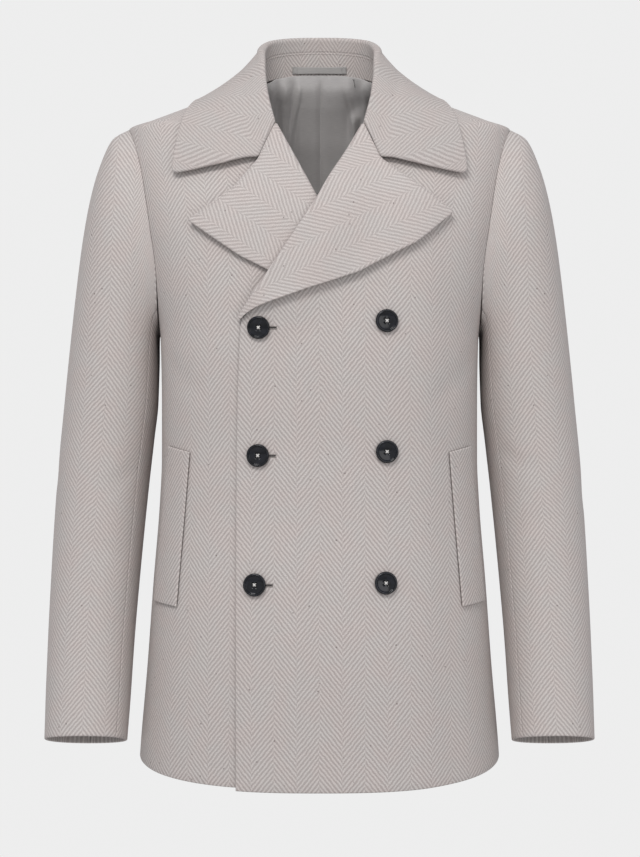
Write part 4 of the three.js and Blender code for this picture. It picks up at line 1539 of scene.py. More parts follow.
@dataclass
class BackPanel:
    """The plain back and its satin lining."""

    cut: Cut
    lining_cut: Cut
    creases: tuple = ()
    folds: tuple = (
        LiningFold(-14, -15, 3.4, 13, square=6),
        LiningFold(18, 19, 4.2, 16, square=6),
        LiningFold(-25, -34, 3.4, 3.2, bottom_z=-45),
        LiningFold(-44, -39, 6.0, 6.0, bottom_z=-210),
        LiningFold(31, 45, 4.2, 4.4, bottom_z=-58, bend=0.6),
        LiningFold(48, 30, 6.2, 6.2, top_z=-14, bottom_z=-230, bend=0.5),
        LiningFold(58, 60, 5.0, 6.0, bottom_z=-260),
        LiningFold(-62, -66, 5.0, 7.0, bottom_z=-300),
    )
    shoulder_columns: int = 6
    neck_columns: int = 8
    lining_fine: int = 4

    def grid(self, fine: int) -> Array:
        """Points of the back on the body's surface.

        Args:
            fine: Number of parts of each cell.

        Returns:
            Rows of points.
        """
        left, right = side_border(Side.RIGHT, 1, fine), side_border(Side.LEFT, 1, fine)
        half_count = (self.shoulder_columns + self.neck_columns // 2) * fine
        half = hem_border(Side.RIGHT, 1, 0, LENGTHS.hem_drop_back, half_count, 1.1)
        shoulder = shoulder_border(Side.RIGHT, self.shoulder_columns * fine, 1)
        neck = resample(smooth_line(BODY.project(NECK_SEAM[4:] * (-1, 1, 1))), self.neck_columns // 2 * fine)
        top_half = np.vstack([shoulder[:-1], neck])
        top_half[self.shoulder_columns * fine, 1] = 0
        bottom = np.vstack([half, half[-2::-1] * (-1, 1, 1)])
        top = np.vstack([top_half, top_half[-2::-1] * (-1, 1, 1)])
        bottom[0], bottom[-1] = left[0], right[0]
        top[0], top[-1] = left[-1], right[-1]
        return fill_borders(bottom, top, left, right)

    def lining_fold(self, p: Array) -> Array:
        """How far the lining's folds stand in from it: two flat bands beside the centre seam, and soft
        pleats that fan out from the neck. It is never below 0, so the lining stays off the back.

        Args:
            p: Points.

        Returns:
            Depths in millimetres.
        """
        x, z = p[..., 0], p[..., 2]
        total = np.zeros(x.shape)
        for fold in self.folds:
            down = np.clip((fold.top_z - z) / (fold.top_z - fold.bottom_z), 0, 1)
            centre = fold.top_x + (fold.bottom_x - fold.top_x) * down**fold.bend
            fade_low = smoothstep(fold.bottom_z - 30, fold.bottom_z + 20, z)
            fade_high = 1 - smoothstep(fold.top_z - 12, fold.top_z, z)
            bell = np.exp(-np.abs((x - centre) / fold.width) ** fold.square)
            total = total + fold.depth * fade_low * fade_high * bell
        seam = 1 - 0.9 * np.exp(-(((x - 1.2) / 0.9) ** 2))
        return total * seam

    def build(self, finishes: Finishes) -> list[bpy.types.Object]:
        """Makes the back and the lining.

        Args:
            finishes: The coat's finishes.

        Returns:
            The pieces.
        """
        coarse = BODY.even_out(self.grid(1), 80)
        fine = self.grid(FINE)
        start = refine(coarse, FINE)
        start[0], start[-1] = fine[0], fine[-1]
        start[:, 0], start[:, -1] = fine[:, 0], fine[:, -1]
        surface = BODY.even_out(BODY.project(start, 3), 60)
        uv = WEAVE(surface)
        normal = BODY.normal(surface)
        outer = surface + normal * crease_height(self.creases, surface)[..., None]
        true_normal = grid_normals(outer)
        true_normal *= np.sign(np.sum(true_normal * normal, axis=-1, keepdims=True))
        log.info("back: area %.4f m2", surface_area(surface))
        middle = outer - true_normal * CLOTH.body / 2
        back = round_shell("back_cloth", middle, true_normal, CLOTH.body, uv)
        place_piece(back, finishes.wool, ["back"])

        count = surface.shape[1] - 1
        first, last = self.shoulder_columns * FINE, count - self.shoulder_columns * FINE
        middle_part = np.linspace(first, last, self.lining_fine * (last - first) + 1)
        at = np.concatenate([np.arange(first), middle_part, np.arange(last + 1, count + 1)])
        before = np.minimum(at.astype(int), count - 1)
        part = (at - before)[None, :, None]
        inner = BODY.project(surface[FINE:, before] * (1 - part) + surface[FINE:, before + 1] * part, 2)
        inner[:, :, 0] -= np.sign(inner[:, :, 0]) * np.array([2.5] + [0] * (inner.shape[1] - 2) + [2.5])
        inner[-1, :, 2] += 2.4
        inner = BODY.project(inner, 4)
        normal = BODY.normal(inner)
        near_neck = smoothstep(-14, 2, inner[..., 2]) * (1 - smoothstep(64, 72, np.abs(inner[..., 0])))
        gap = CLOTH.lining_gap * (1 - near_neck) + 0.1 * near_neck
        depth = CLOTH.body + gap + CLOTH.lining / 2 + self.lining_fold(inner)
        middle = inner - normal * depth[..., None]
        true_normal = grid_normals(middle)
        true_normal *= np.sign(np.sum(true_normal * normal, axis=-1, keepdims=True))
        log.info("back_lining: area %.4f m2", surface_area(middle))
        lining = round_shell("back_lining_satin", middle, true_normal, CLOTH.lining, WEAVE(inner))
        place_piece(lining, finishes.satin, ["back_lining"])
        return [back, lining]


class SleeveForm:
    """Middle surface of a sleeve's wall, by ring position and angle round it."""

    def __init__(self, rings: Array) -> None:
        """Makes one curve for each column of the table.

        Args:
            rings: Table of the sleeve's rings.
        """
        at = np.arange(len(rings), dtype=float)
        self.columns = [MonotoneCurve(at, rings[:, k]) for k in range(rings.shape[1])]
        self.last = float(len(rings) - 1)

    def ring(self, side: Side, ring: Array, angle: Array) -> Array:
        """Points of the slanting rings.

        Args:
            side: Side of the coat.
            ring: Place along the rings.
            angle: Angle round the sleeve or armhole.

        Returns:
            Points.
        """
        out_x, out_z, in_x, in_z, depth, mid_y, tilt = (c(ring) for c in self.columns)
        power = 2 / SLEEVE_SQUARE
        out = np.sign(np.cos(angle)) * np.abs(np.cos(angle)) ** power
        front = np.sign(np.sin(angle)) * np.abs(np.sin(angle)) ** power
        lean = np.radians(tilt)
        wall = CLOTH.sleeve / 2
        half_x, half_z = (out_x - in_x) / 2, (out_z - in_z) / 2
        narrow = 1 - wall / np.hypot(half_x, half_z)
        return np.stack([
            side.value * ((out_x + in_x) / 2 + half_x * narrow * out),
            mid_y - (depth - wall) * front * np.cos(lean),
            (out_z + in_z) / 2 + half_z * narrow * out + (depth - wall) * front * np.sin(lean),
        ], axis=-1)

    def start(self, side: Side, angle: Array) -> Array:
        """First line of the sleeve, in the armhole's seam and a little proud of the body.

        Args:
            side: Side of the coat.
            angle: Angle round the sleeve or armhole.

        Returns:
            Points.
        """
        turned = np.where(angle > math.pi, angle - 2 * math.pi, angle)
        around = np.abs(turned)
        p = armhole_points(side, around, np.where(turned < 0, 1.0, -1.0))
        n = BODY.normal(p)
        in_hole = np.array([side.value * 205, 0, (LENGTHS.shoulder_z + LENGTHS.underarm_z) / 2]) - p
        in_hole = unit(in_hole - n * np.sum(in_hole * n, axis=-1, keepdims=True))
        under = smoothstep(0.62 * math.pi, 0.9 * math.pi, around)[..., None]
        return p + in_hole * (0.4 + 1.2 * under) + n * (-0.6 + 2.9 * under)

    def point(self, side: Side, ring: Array, angle: Array) -> Array:
        """Points of the sleeve: the first rings fade from the armhole's seam to the table.

        Args:
            side: Side of the coat.
            ring: Place along the rings.
            angle: Angle round the sleeve or armhole.

        Returns:
            Points.
        """
        p = self.ring(side, ring, angle)
        keep = np.maximum(0, 1 - ring / 3)[..., None] ** 2
        return p + (self.start(side, angle) - self.ring(side, 0 * ring, angle)) * keep

    def normal(self, side: Side, ring: Array, angle: Array) -> Array:
        """Directions square to the surface.

        Args:
            side: Side of the coat.
            ring: Place along the rings.
            angle: Angle round the sleeve or armhole.

        Returns:
            Unit normals.
        """
        d = 0.02
        around = self.point(side, ring, angle + d) - self.point(side, ring, angle - d)
        low, high = np.maximum(0, ring - d), np.minimum(self.last, ring + d)
        down = self.point(side, high, angle) - self.point(side, low, angle)
        return unit(np.cross(around, down))


@dataclass
class Sleeve:
    """A two-piece sleeve: the upper and the under piece meet at a front and a back seam."""

    side: Side
    upper_cut: Cut
    under_cut: Cut
    creases: tuple = ()
    front_seam: int = 11
    back_seam: int = 7
    fine_around: int = 5
    rows: int = 150

    def piece(self, name: str, first: int, last: int, form: SleeveForm, finishes: Finishes
              ) -> bpy.types.Object:
        """Makes one piece between two seams, which are counted in armhole steps.

        Args:
            name: Name of the piece.
            first: First seam, in armhole steps.
            last: Last seam, in armhole steps.
            form: The sleeve's form.
            finishes: The coat's finishes.

        Returns:
            The piece.
        """
        step = math.pi / ARMHOLE_ROWS
        angle = np.linspace(first, last, (last - first) * self.fine_around + 1) * step
        share = np.linspace(0, 1, self.rows + 1)
        ring = form.last * (0.35 * share**2 + 0.65 * share)
        ring_grid, angle_grid = np.meshgrid(ring, angle, indexing="ij")
        middle = form.point(self.side, ring_grid, angle_grid)
        normal = form.normal(self.side, ring_grid, angle_grid)
        outward = np.sign(np.sum(normal * (middle - middle.mean(axis=1, keepdims=True))))
        normal = normal * outward
        uv = SLEEVE_WEAVE(middle * (self.side.value, 1, 1), under=first == self.front_seam)
        height = crease_height(self.creases, middle)
        fade = smoothstep(0, 1.2, ring_grid)
        moved = middle + normal * (height * fade)[..., None]
        log.info("%s: area %.4f m2", name, surface_area(middle))
        obj = round_shell(name + "_cloth", moved, normal, CLOTH.sleeve, uv)
        return place_piece(obj, finishes.wool, [name])

    def build(self, finishes: Finishes) -> list[bpy.types.Object]:
        """Makes both pieces.

        Args:
            finishes: The coat's finishes.

        Returns:
            The pieces.
        """
        form = SleeveForm(SLEEVE_RINGS)
        label = self.side.label
        full = 2 * ARMHOLE_ROWS
        return [
            self.piece(
                f"sleeve_upper_{label}", -self.back_seam, self.front_seam, form, finishes
            ),
            self.piece(
                f"sleeve_under_{label}", self.front_seam, full - self.back_seam, form,
                finishes,
            ),
        ]


def leaf_height(share: Array) -> Array:
    """Height of a turned leaf's middle above the layer below it."""
    return 2 * CLOTH.fold_radius - CLOTH.body / 2 + CLOTH.edge_lift * np.maximum(share, 0) ** 1.5


@dataclass
class Lapel:
    """A lapel: the fold at the roll line, then the leaf out to the free edge."""

    side: Side
    roll: Array
    top: Array
    free: Array
    layer: Height
    tucked: bool
    cut: Cut
    rows: int = 60
    columns: int = 40
    fold_steps: int = 10
    gorge_gap: float = 1.2
    corner: float = 4.0

    def build(self, finishes: Finishes) -> bpy.types.Object:
        """Makes the lapel.

        Args:
            finishes: The coat's finishes.

        Returns:
            The piece.
        """
        sign = self.side.value
        roll = resample(flat_points(self.roll, sign), self.rows)
        top, free = (resample(flat_points(line, sign), 600) for line in (self.top, self.free))
        top, free = round_corner(top, free, self.corner)
        top, free = resample(top, self.columns), resample(free, self.rows)
        end = resample(np.array([roll[-1], free[-1]]), self.columns)
        leaf = fill_borders(top, end, roll, free)
        direction = unit(np.gradient(roll, axis=0))
        turn = np.stack([-direction[:, 2], 0 * direction[:, 0], direction[:, 0]], axis=-1) * sign
        angle = np.linspace(-math.pi / 2, math.pi / 2, self.fold_steps + 1)[:-1]
        fold = roll[:, None] - turn[:, None] * (CLOTH.fold_radius * np.cos(angle))[None, :, None]
        base = self.layer(roll[:, 0], roll[:, 2])[:, None] - CLOTH.body / 2
        fold_height = base + CLOTH.fold_radius * (1 + np.sin(angle))[None]
        share = np.linspace(0, 1, self.columns + 1)[None]
        along = np.linspace(0, 1, self.rows + 1)[:, None]
        width = np.linalg.norm(free - roll, axis=1)[:, None]
        lift = share * ((1 - along**2) if self.tucked else smoothstep(0, 16, width))
        flat_height = self.layer(leaf[..., 0], leaf[..., 2]) + leaf_height(lift)
        flat_height = flat_height + (1.4 * along**2 * smoothstep(0, 0.1, share) if self.tucked else 0)
        plan = np.concatenate([fold, leaf], axis=1)
        height = np.concatenate([fold_height, flat_height], axis=1)
        grid = BODY.front_place(plan[..., 0], plan[..., 2], height)
        grid[0] += unit(grid[1] - grid[0]) * self.gorge_gap
        normal = grid_normals(grid)
        outward = BODY.normal(grid[:, -5])
        normal *= np.sign(np.sum(normal[:, -5] * outward))
        run = unit(roll[-1] - roll[0])
        away = np.array([-run[2], 0, run[0]]) * sign
        around = CLOTH.fold_radius * (math.pi / 2 - angle)
        flat = np.concatenate([roll[:, None] - away * around[None, :, None], leaf], axis=1) - roll[0]
        grain = unit(2 * run * -run[2] + np.array([0.0, 0.0, 1.0]))
        across = np.array([-grain[2], 0, grain[0]])
        uv = np.stack([np.sum(flat * across, axis=-1) + 6.0, -np.sum(flat * grain, axis=-1)], axis=-1)
        name = f"lapel_{self.side.label}"
        log.info("%s: area %.4f m2", name, surface_area(grid))
        obj = round_shell(name + "_cloth", grid, normal, CLOTH.collar, uv)
        seam = grid[0] + unit(grid[1] - grid[0]) * 2.6 + normal[0] * (CLOTH.collar / 2 + 0.05)
        self.seam = seam[self.fold_steps + 7: -2], normal[0, self.fold_steps + 7: -2]
        return place_piece(obj, finishes.lapel_wool, [name])


@dataclass
class Collar:
    """The collar's leaf with its fold and inner band, the stand below it and the hanger loop."""

    fall_cut: Cut
    stand_cut: Cut
    loop_cut: Cut
    columns: int = 90
    leaf_rows: int = 42
    fold_steps: int = 12
    inner_rows: int = 12
    stand_from: float = 7 / 15
    end_fade: float = 4.0
    corner: float = 8.0
    notch_lift: float = 3.5
    fan: float = 32.0
    seam_overlap: float = 3.4
    stand_height: float = 0.69
    stand_inset: float = 0.4
    loop_half: float = 32.0
    loop_height: float = 9.0
    loop_thick: float = 1.2
    loop_z: float = 18.0

    def half(self) -> tuple[Array, Array, Array, Array]:
        """One half of the fall and of the stand, from the gorge to the back centre.

        Returns:
            The fall, the stand, the neck seam and the roll line.
        """
        count = self.columns
        radius = CLOTH.fold_radius
        roll = resample(smooth_line(COLLAR_ROLL), count)
        seam = resample(smooth_line(BODY.project(NECK_SEAM)), count)
        outward = BODY.normal(roll)
        outer_top = roll + outward * radius
        inner_top = roll - outward * radius
        first = COLLAR_END[0]
        outer_top[0] = BODY.front_place(first[0], first[1], leaf_height(np.float64(0)))
        inner_top[0] = BODY.front_place(first[0], first[1], np.float64(-CLOTH.body / 2))
        end_line = resample(flat_points(COLLAR_END), 400)
        end_share = np.linspace(0, 1, 401)
        notch_rise = self.notch_lift * smoothstep(0.22, 0.42, end_share)
        notch_rise = notch_rise * (1 - smoothstep(0.5, 1.0, end_share))
        end = BODY.front_place(end_line[:, 0], end_line[:, 2], leaf_height(end_share) + notch_rise)
        share = np.linspace(0, 1, self.leaf_rows + 1)
        place = np.linspace(0, 1, 1001)
        edge = resample(smooth_line(BODY.project(COLLAR_EDGE)), 1000)
        front_share = 1 - smoothstep(0.05, 0.4, place)
        front_height, back_height = leaf_height(np.float64(1)), CLOTH.back_edge_height
        lift = back_height + (front_height - back_height) * front_share
        edge = edge + BODY.normal(edge) * lift[:, None]
        end, edge = round_corner(end, edge, self.corner)
        end, edge = resample(end, self.leaf_rows), resample(edge, count)
        place = np.arange(count + 1) / count
        bend_shape = end - (end[:1] + (end[-1:] - end[:1]) * share[:, None])
        leaf = outer_top[:, None] + (edge - outer_top)[:, None] * share[None, :, None]
        leaf = leaf + bend_shape[None] * ((1 - place) ** self.end_fade)[:, None, None]
        leaf = BODY.clear(leaf, CLOTH.collar / 2 + 1.4)
        foot = seam - BODY.normal(seam) * CLOTH.body / 2
        height = np.linalg.norm(foot - inner_top, axis=1)[:, None]
        up = unit(inner_top - foot)
        stand_share = (self.stand_height * smoothstep(4.5 / 15, 8.5 / 15, place))[:, None]
        rest = 0.5 + CLOTH.collar / 2 * np.abs(np.sum(up * BODY.normal(seam), axis=1))[:, None]
        has_stand = (place >= self.stand_from)[:, None]
        above_stand = stand_share * height - self.seam_overlap
        low = foot + up * np.where(has_stand, above_stand, np.minimum(rest, 0.6 * height))
        stand_low, stand_high = foot + up * rest, foot + up * stand_share * height
        t = np.linspace(0, 1, self.inner_rows + 1)[None, :, None]
        inner = low[:, None] * (1 - t[:, :-1]) + inner_top[:, None] * t[:, :-1]
        out = unit(leaf[:, 0] - leaf[:, 1])
        handle = radius * 1.33
        b1, b2 = inner_top + up * handle, leaf[:, 0] + out * handle
        s = np.linspace(0, 1, self.fold_steps + 1)[None, :-1, None]
        bend = (
            (1 - s) ** 3 * inner_top[:, None] + 3 * (1 - s) ** 2 * s * b1[:, None]
            + 3 * (1 - s) * s**2 * b2[:, None] + s**3 * leaf[:, :1]
        )
        fall = np.concatenate([inner, bend, leaf], axis=1)
        stand = stand_low[:, None] * (1 - t) + stand_high[:, None] * t
        return fall, stand[has_stand[:, 0]], seam, roll

    @staticmethod
    def mirrored(grid: Array, sign: int = -1) -> Array:
        """A half followed by its mirror image.

        Args:
            grid: Rows of points.
            sign: -1 for a mirror image, 1 for a copy.

        Returns:
            The whole grid.
        """
        other = grid[-2::-1].copy()
        other[..., 0] *= sign
        return np.concatenate([grid, other])

    def build(self, finishes: Finishes) -> list[bpy.types.Object]:
        """Makes the fall, the stand and the loop.

        Args:
            finishes: The coat's finishes.

        Returns:
            The pieces.
        """
        fall, stand, _, roll = self.half()
        grid = self.mirrored(fall)
        normal = grid_normals(grid)
        centre = len(grid) // 2
        normal *= np.sign(normal[centre, -5, 1])
        fall_normal = normal
        lines = np.linalg.norm(np.diff(fall, axis=0), axis=-1)
        run = np.concatenate([np.zeros((1, fall.shape[1])), np.cumsum(lines, axis=0)], axis=0)
        from_back = run[-1:] - run
        bands = self.inner_rows + self.fold_steps
        place = np.arange(len(fall)) / (len(fall) - 1)
        fan = math.radians(self.fan) * (1 - smoothstep(0.05, 0.85, place))
        step = -np.diff(from_back[:, bands])
        mean_fan = (fan[1:] + fan[:-1]) / 2
        laid = np.stack([np.cos(mean_fan), -np.sin(mean_fan)], axis=-1) * step[:, None]
        roll_flat = np.concatenate([np.cumsum(laid[::-1], axis=0)[::-1], np.zeros((1, 2))])
        out = np.linalg.norm(np.diff(fall, axis=1), axis=-1)
        v = np.concatenate([np.zeros((len(fall), 1)), np.cumsum(out, axis=1)], axis=1)
        v = v - v[:, [bands]]
        rung = np.stack([np.sin(fan), np.cos(fan)], axis=-1)
        uv = self.mirrored(roll_flat[:, None] + v[..., None] * rung[:, None])
        log.info("collar_fall: area %.4f m2", surface_area(grid))
        obj = round_shell("collar_fall_cloth", grid, normal, CLOTH.collar, uv)
        # The fall takes the wool with painted shade.
        pieces = [place_piece(obj, finishes.collar_wool, ["collar_fall"])]

        low = self.mirrored(stand)
        normal = grid_normals(low)
        normal *= np.sign(normal[len(low) // 2, 2, 1])
        start = len(fall) - len(stand)
        stand_u = np.repeat(from_back[start:, [bands]], low.shape[1], axis=1)
        rise = np.linspace(0, 30, low.shape[1])[None] * np.ones((len(stand), 1)) - 60
        log.info("collar_stand: area %.4f m2", surface_area(low))
        stand_uv = self.mirrored(np.stack([stand_u, rise], axis=-1))
        obj = round_shell("collar_stand_cloth", low - normal * self.stand_inset, normal, CLOTH.body, stand_uv)
        pieces.append(place_piece(obj, finishes.wool, ["collar_stand"]))
        pieces.append(self.loop(stand[-1], finishes))
        self.stand_grid, self.stand_normal = low, normal
        self.fall_grid, self.fall_normal = grid, fall_normal
        return pieces

    def loop(self, back: Array, finishes: Finishes) -> bpy.types.Object:
        """The hanger loop: a folded satin strip that bows off the stand between its sewn ends.

        Args:
            back: The stand's points at the back centre.
            finishes: The coat's finishes.

        Returns:
            The piece.
        """
        x = np.linspace(-self.loop_half, self.loop_half, 49)[None]
        v = np.linspace(0, 1, 9)[:, None]
        y = back[0, 1] - CLOTH.body / 2 - 0.4 - self.loop_thick / 2
        bow = 2.2 * (1 - (x / self.loop_half) ** 2)
        near_wall = x * x / (2 * 73)
        grid = np.stack([
            x + 0 * v, y - bow - near_wall - 0.12 * self.loop_height * v,
            self.loop_z + 0.4 + self.loop_height * v + 1.3 * (1 - v) * (1 - (x / self.loop_half) ** 2),
        ], axis=-1)
        normal = grid_normals(grid)
        normal *= -np.sign(normal[4, 24, 1])
        uv = np.stack([x + 0 * v, self.loop_height * v + 0 * x], axis=-1)
        obj = round_shell("hanger_loop_satin", grid, normal, self.loop_thick, uv)
        self.loop_grid, self.loop_normal = grid, normal
        log.info("hanger_loop: area %.4f m2", surface_area(grid))
        return place_piece(obj, finishes.loop_satin, ["hanger_loop"])


@dataclass
class Welt:
    """A slanted pocket welt that lies on its front."""

    side: Side
    layer: Height
    cut: Cut
    top_outer: tuple = (168.5, -419.7)
    top_inner: tuple = (143.5, -426.2)
    bottom_inner: tuple = (158.4, -599)
    bottom_outer: tuple = (185.5, -595.2)
    thick: float = 2.6
    gap: float = 0.5

    def build(self, finishes: Finishes) -> bpy.types.Object:
        """Makes the welt: its faces are the front's own points, moved out.

        Args:
            finishes: The coat's finishes.

        Returns:
            The piece.
        """
        sign = self.side.value
        outer = resample(flat_points(np.array([self.top_outer, self.bottom_outer]), sign), 80)
        inner = resample(flat_points(np.array([self.top_inner, self.bottom_inner]), sign), 80)
        t = np.linspace(0, 1, 17)[None, :, None]
        plan = outer[:, None] * (1 - t) + inner[:, None] * t
        x, z = plan[..., 0], plan[..., 2]
        middle = BODY.front_place(x, z, self.layer(x, z) + self.gap + self.thick / 2)
        surface = BODY.front_point(x, z)
        normal = BODY.normal(surface)
        run = unit(outer[-1] - outer[0])
        uv = WEAVE(surface)
        turned = np.stack([uv[..., 0] - (x - x[:1, :1]) * run[2] * 0, uv[..., 1]], axis=-1) + (11.0, 3.0)
        name = f"pocket_welt_{self.side.label}"
        log.info("%s: area %.4f m2", name, surface_area(middle))
        obj = round_shell(name + "_cloth", middle, normal, self.thick, turned)
        return place_piece(obj, finishes.wool, [name])


@dataclass
class Button:
    """A four-hole button with a raised rim, its crossed thread and, on the edge column, the end of
    its buttonhole."""

    number: int
    place: tuple
    has_hole: bool
    layer: Height
    radius: float = 12.7
    hole_radius: float = 1.15
    hole_spacing: float = 3.3
    segments: int = 96

    PROFILE = (
        (0.0, 0.0), (0.60, 0.0), (0.72, 0.05), (0.86, 0.32), (0.95, 0.85), (0.99, 1.6), (1.0, 2.3),
        (0.99, 3.1), (0.965, 3.75), (0.93, 4.2), (0.89, 4.4), (0.85, 4.38), (0.82, 4.2), (0.80, 3.9),
        (0.785, 3.5), (0.77, 3.2), (0.745, 3.02), (0.70, 2.9), (0.55, 2.6), (0.4, 2.32), (0.2, 2.16),
        (0.0, 2.1),
    )

    def solid(self) -> tuple[Array, Array]:
        """The turned button at the origin with its axis along Z: a profile on a circle, and a point at
        each pole.

        Returns:
            Points and faces.
        """
        profile = np.array(self.PROFILE)
        turn = np.linspace(0, 2 * math.pi, self.segments, endpoint=False)
        rings = profile[1:-1]
        r, h = rings[:, 0] * self.radius, rings[:, 1]
        level = np.repeat(h[:, None], len(turn), 1)
        body = np.stack([np.outer(r, np.cos(turn)), np.outer(r, np.sin(turn)), level], axis=-1)
        points = np.concatenate([[(0, 0, profile[0, 1])], body.reshape(-1, 3), [(0, 0, profile[-1, 1])]])
        index = 1 + np.arange(len(rings) * len(turn)).reshape(len(rings), -1)
        wrapped = np.concatenate([index, index[:, :1]], axis=1)
        zero, last = np.zeros(len(turn), int), np.full(len(turn), len(points) - 1)
        faces = np.concatenate([
            grid_faces(wrapped),
            np.stack([zero, wrapped[0, 1:], wrapped[0, :-1], zero], axis=1),
            np.stack([last, wrapped[-1, :-1], wrapped[-1, 1:], last], axis=1),
        ])
        if signed_volume(points, faces) < 0:
            faces = faces[:, ::-1]
        return points, faces

    def drill(self, obj: bpy.types.Object) -> None:
        """Cuts the four holes with a cylinder each.

        Args:
            obj: The button.
        """
        half = self.hole_spacing / 2 * MM
        tools = []
        for sx in (1, -1):
            for sy in (1, -1):
                bpy.ops.mesh.primitive_cylinder_add(
                    vertices=24, radius=self.hole_radius * MM, depth=8 * MM,
                    location=(sx * half, sy * half, 2 * MM),
                )
                tools.append(bpy.context.object)
        for tool in tools:
            cut = obj.modifiers.new("hole", "BOOLEAN")
            cut.operation, cut.solver, cut.object = "DIFFERENCE", "EXACT", tool
        graph = bpy.context.evaluated_depsgraph_get()
        drilled = bpy.data.meshes.new_from_object(obj.evaluated_get(graph))
        obj.modifiers.clear()
        obj.data = drilled
        for tool in tools:
            bpy.data.objects.remove(tool, do_unlink=True)

    def seat(self) -> tuple[Array, Array]:
        """Middle of the seat and the matrix whose columns are the button's axes.

        Returns:
            The point and the matrix.
        """
        x0, z0 = self.place

        def face(dx: float, dz: float) -> Array:
            """Point of the cloth's face, so many radii from the button's middle."""
            x, z = np.float64(x0 + dx * self.radius), np.float64(z0 + dz * self.radius)
            return BODY.front_place(x, z, self.layer(x, z))

        across = unit(face(1, 0) - face(-1, 0))
        normal = unit(np.cross(across, face(0, 1) - face(0, -1)))
        up = np.cross(normal, across)
        return face(0, 0) + normal * 0.6, np.stack([across, up, normal], axis=1)

    def build(self, finishes: Finishes) -> list[bpy.types.Object]:
        """Makes the button, its thread and its buttonhole's end.

        Args:
            finishes: The coat's finishes.

        Returns:
            The pieces.
        """
        points, faces = self.solid()
        name = f"button_{self.number}"
        obj = make_mesh(name + "_gloss", points, faces)
        self.drill(obj)
        mesh = obj.data
        mesh.name = name + "_gloss"
        place = np.zeros(len(mesh.vertices) * 3)
        mesh.vertices.foreach_get("co", place)
        seat, axes = self.seat()
        place = place.reshape(-1, 3) @ axes.T + seat * MM
        mesh.vertices.foreach_set("co", place.ravel())
        mesh.update()
        place_piece(obj, finishes.button, [name])
        pieces = [obj, self.thread(seat, axes, finishes)]
        if self.has_hole:
            pieces += self.buttonhole(finishes)
        return pieces

    def thread(self, seat: Array, axes: Array, finishes: Finishes) -> bpy.types.Object:
        """Crossed thread through the holes: three strands each way.

        Args:
            seat: Middle of the seat.
            axes: The button's axes as columns.
            finishes: The coat's finishes.

        Returns:
            The piece.
        """
        half = self.hole_spacing / 2
        starts, ends = [], []
        for sign in (1, -1):
            for shift in (-0.5, 0.0, 0.5):
                a = np.array([-half * 1.15 + shift * 0.5, -sign * half * 1.15 - shift * 0.5 * sign, 2.2])
                b = np.array([half * 1.15 + shift * 0.5, sign * half * 1.15 - shift * 0.5 * sign, 2.2])
                starts.append(a)
                ends.append(b)
        starts, ends = np.array(starts), np.array(ends)
        local = np.tile([0.0, 0.0, 1.0], (len(starts), 1))
        name = f"button_{self.number}_thread"
        obj = stitch_mesh(name, starts @ axes.T + seat, ends @ axes.T + seat, local @ axes.T, 0.5, 1.0)
        return place_piece(obj, finishes.pale_thread)

    def buttonhole(self, finishes: Finishes) -> list[bpy.types.Object]:
        """The worked end of the buttonhole beside the button: a near-black sheet as painted shade in the
        slit, between two thread rows.

        Args:
            finishes: The coat's finishes.

        Returns:
            The pieces.
        """
        x0, z0 = self.place
        x = np.linspace(x0 + 6.0, x0 + 19.5, 20)
        pieces = []
        slit_x = np.stack([x, x])
        spread = 0.75 * np.sqrt(np.clip((x0 + 19.8 - x) / 3.0, 0.02, 1))
        slit_z = np.stack([z0 - 0.4 - spread, z0 - 0.4 + spread])
        t = np.linspace(0, 1, 5)[:, None]
        gx, gz = slit_x[:1] + 0 * t, slit_z[:1] * (1 - t) + slit_z[1:] * t
        surface = BODY.front_point(gx, gz)
        normal = BODY.normal(surface)
        middle = surface + normal * (self.layer(gx, gz) + 0.15)[..., None]
        # Painted shade: a thin near-black sheet in the dark thread colour lies where the slit's opening is in
        # shade.
        painted_slit_shade = round_shell(f"buttonhole_{self.number}_slit", middle, normal, 0.5, np.stack([gx, gz], -1), 0.2)
        place_piece(painted_slit_shade, finishes.dark_thread)
        pieces.append(painted_slit_shade)
        row_x = np.arange(x0 + 7.0, x0 + 20.0, 0.75)
        for sign in (1, -1):
            z = np.full(len(row_x), z0 - 0.4)
            inner = BODY.front_place(row_x, z + sign * 0.6, self.layer(row_x, z) + 0.2)
            outer = BODY.front_place(row_x, z + sign * 2.0, self.layer(row_x, z) + 0.2)
            rows = stitch_mesh(
                f"buttonhole_{self.number}_{'upper' if sign > 0 else 'lower'}", inner, outer,
                BODY.normal(BODY.front_point(row_x, z)), 0.38, 0.25,
            )
            place_piece(rows, finishes.wool_thread)
            pieces.append(rows)
        return pieces


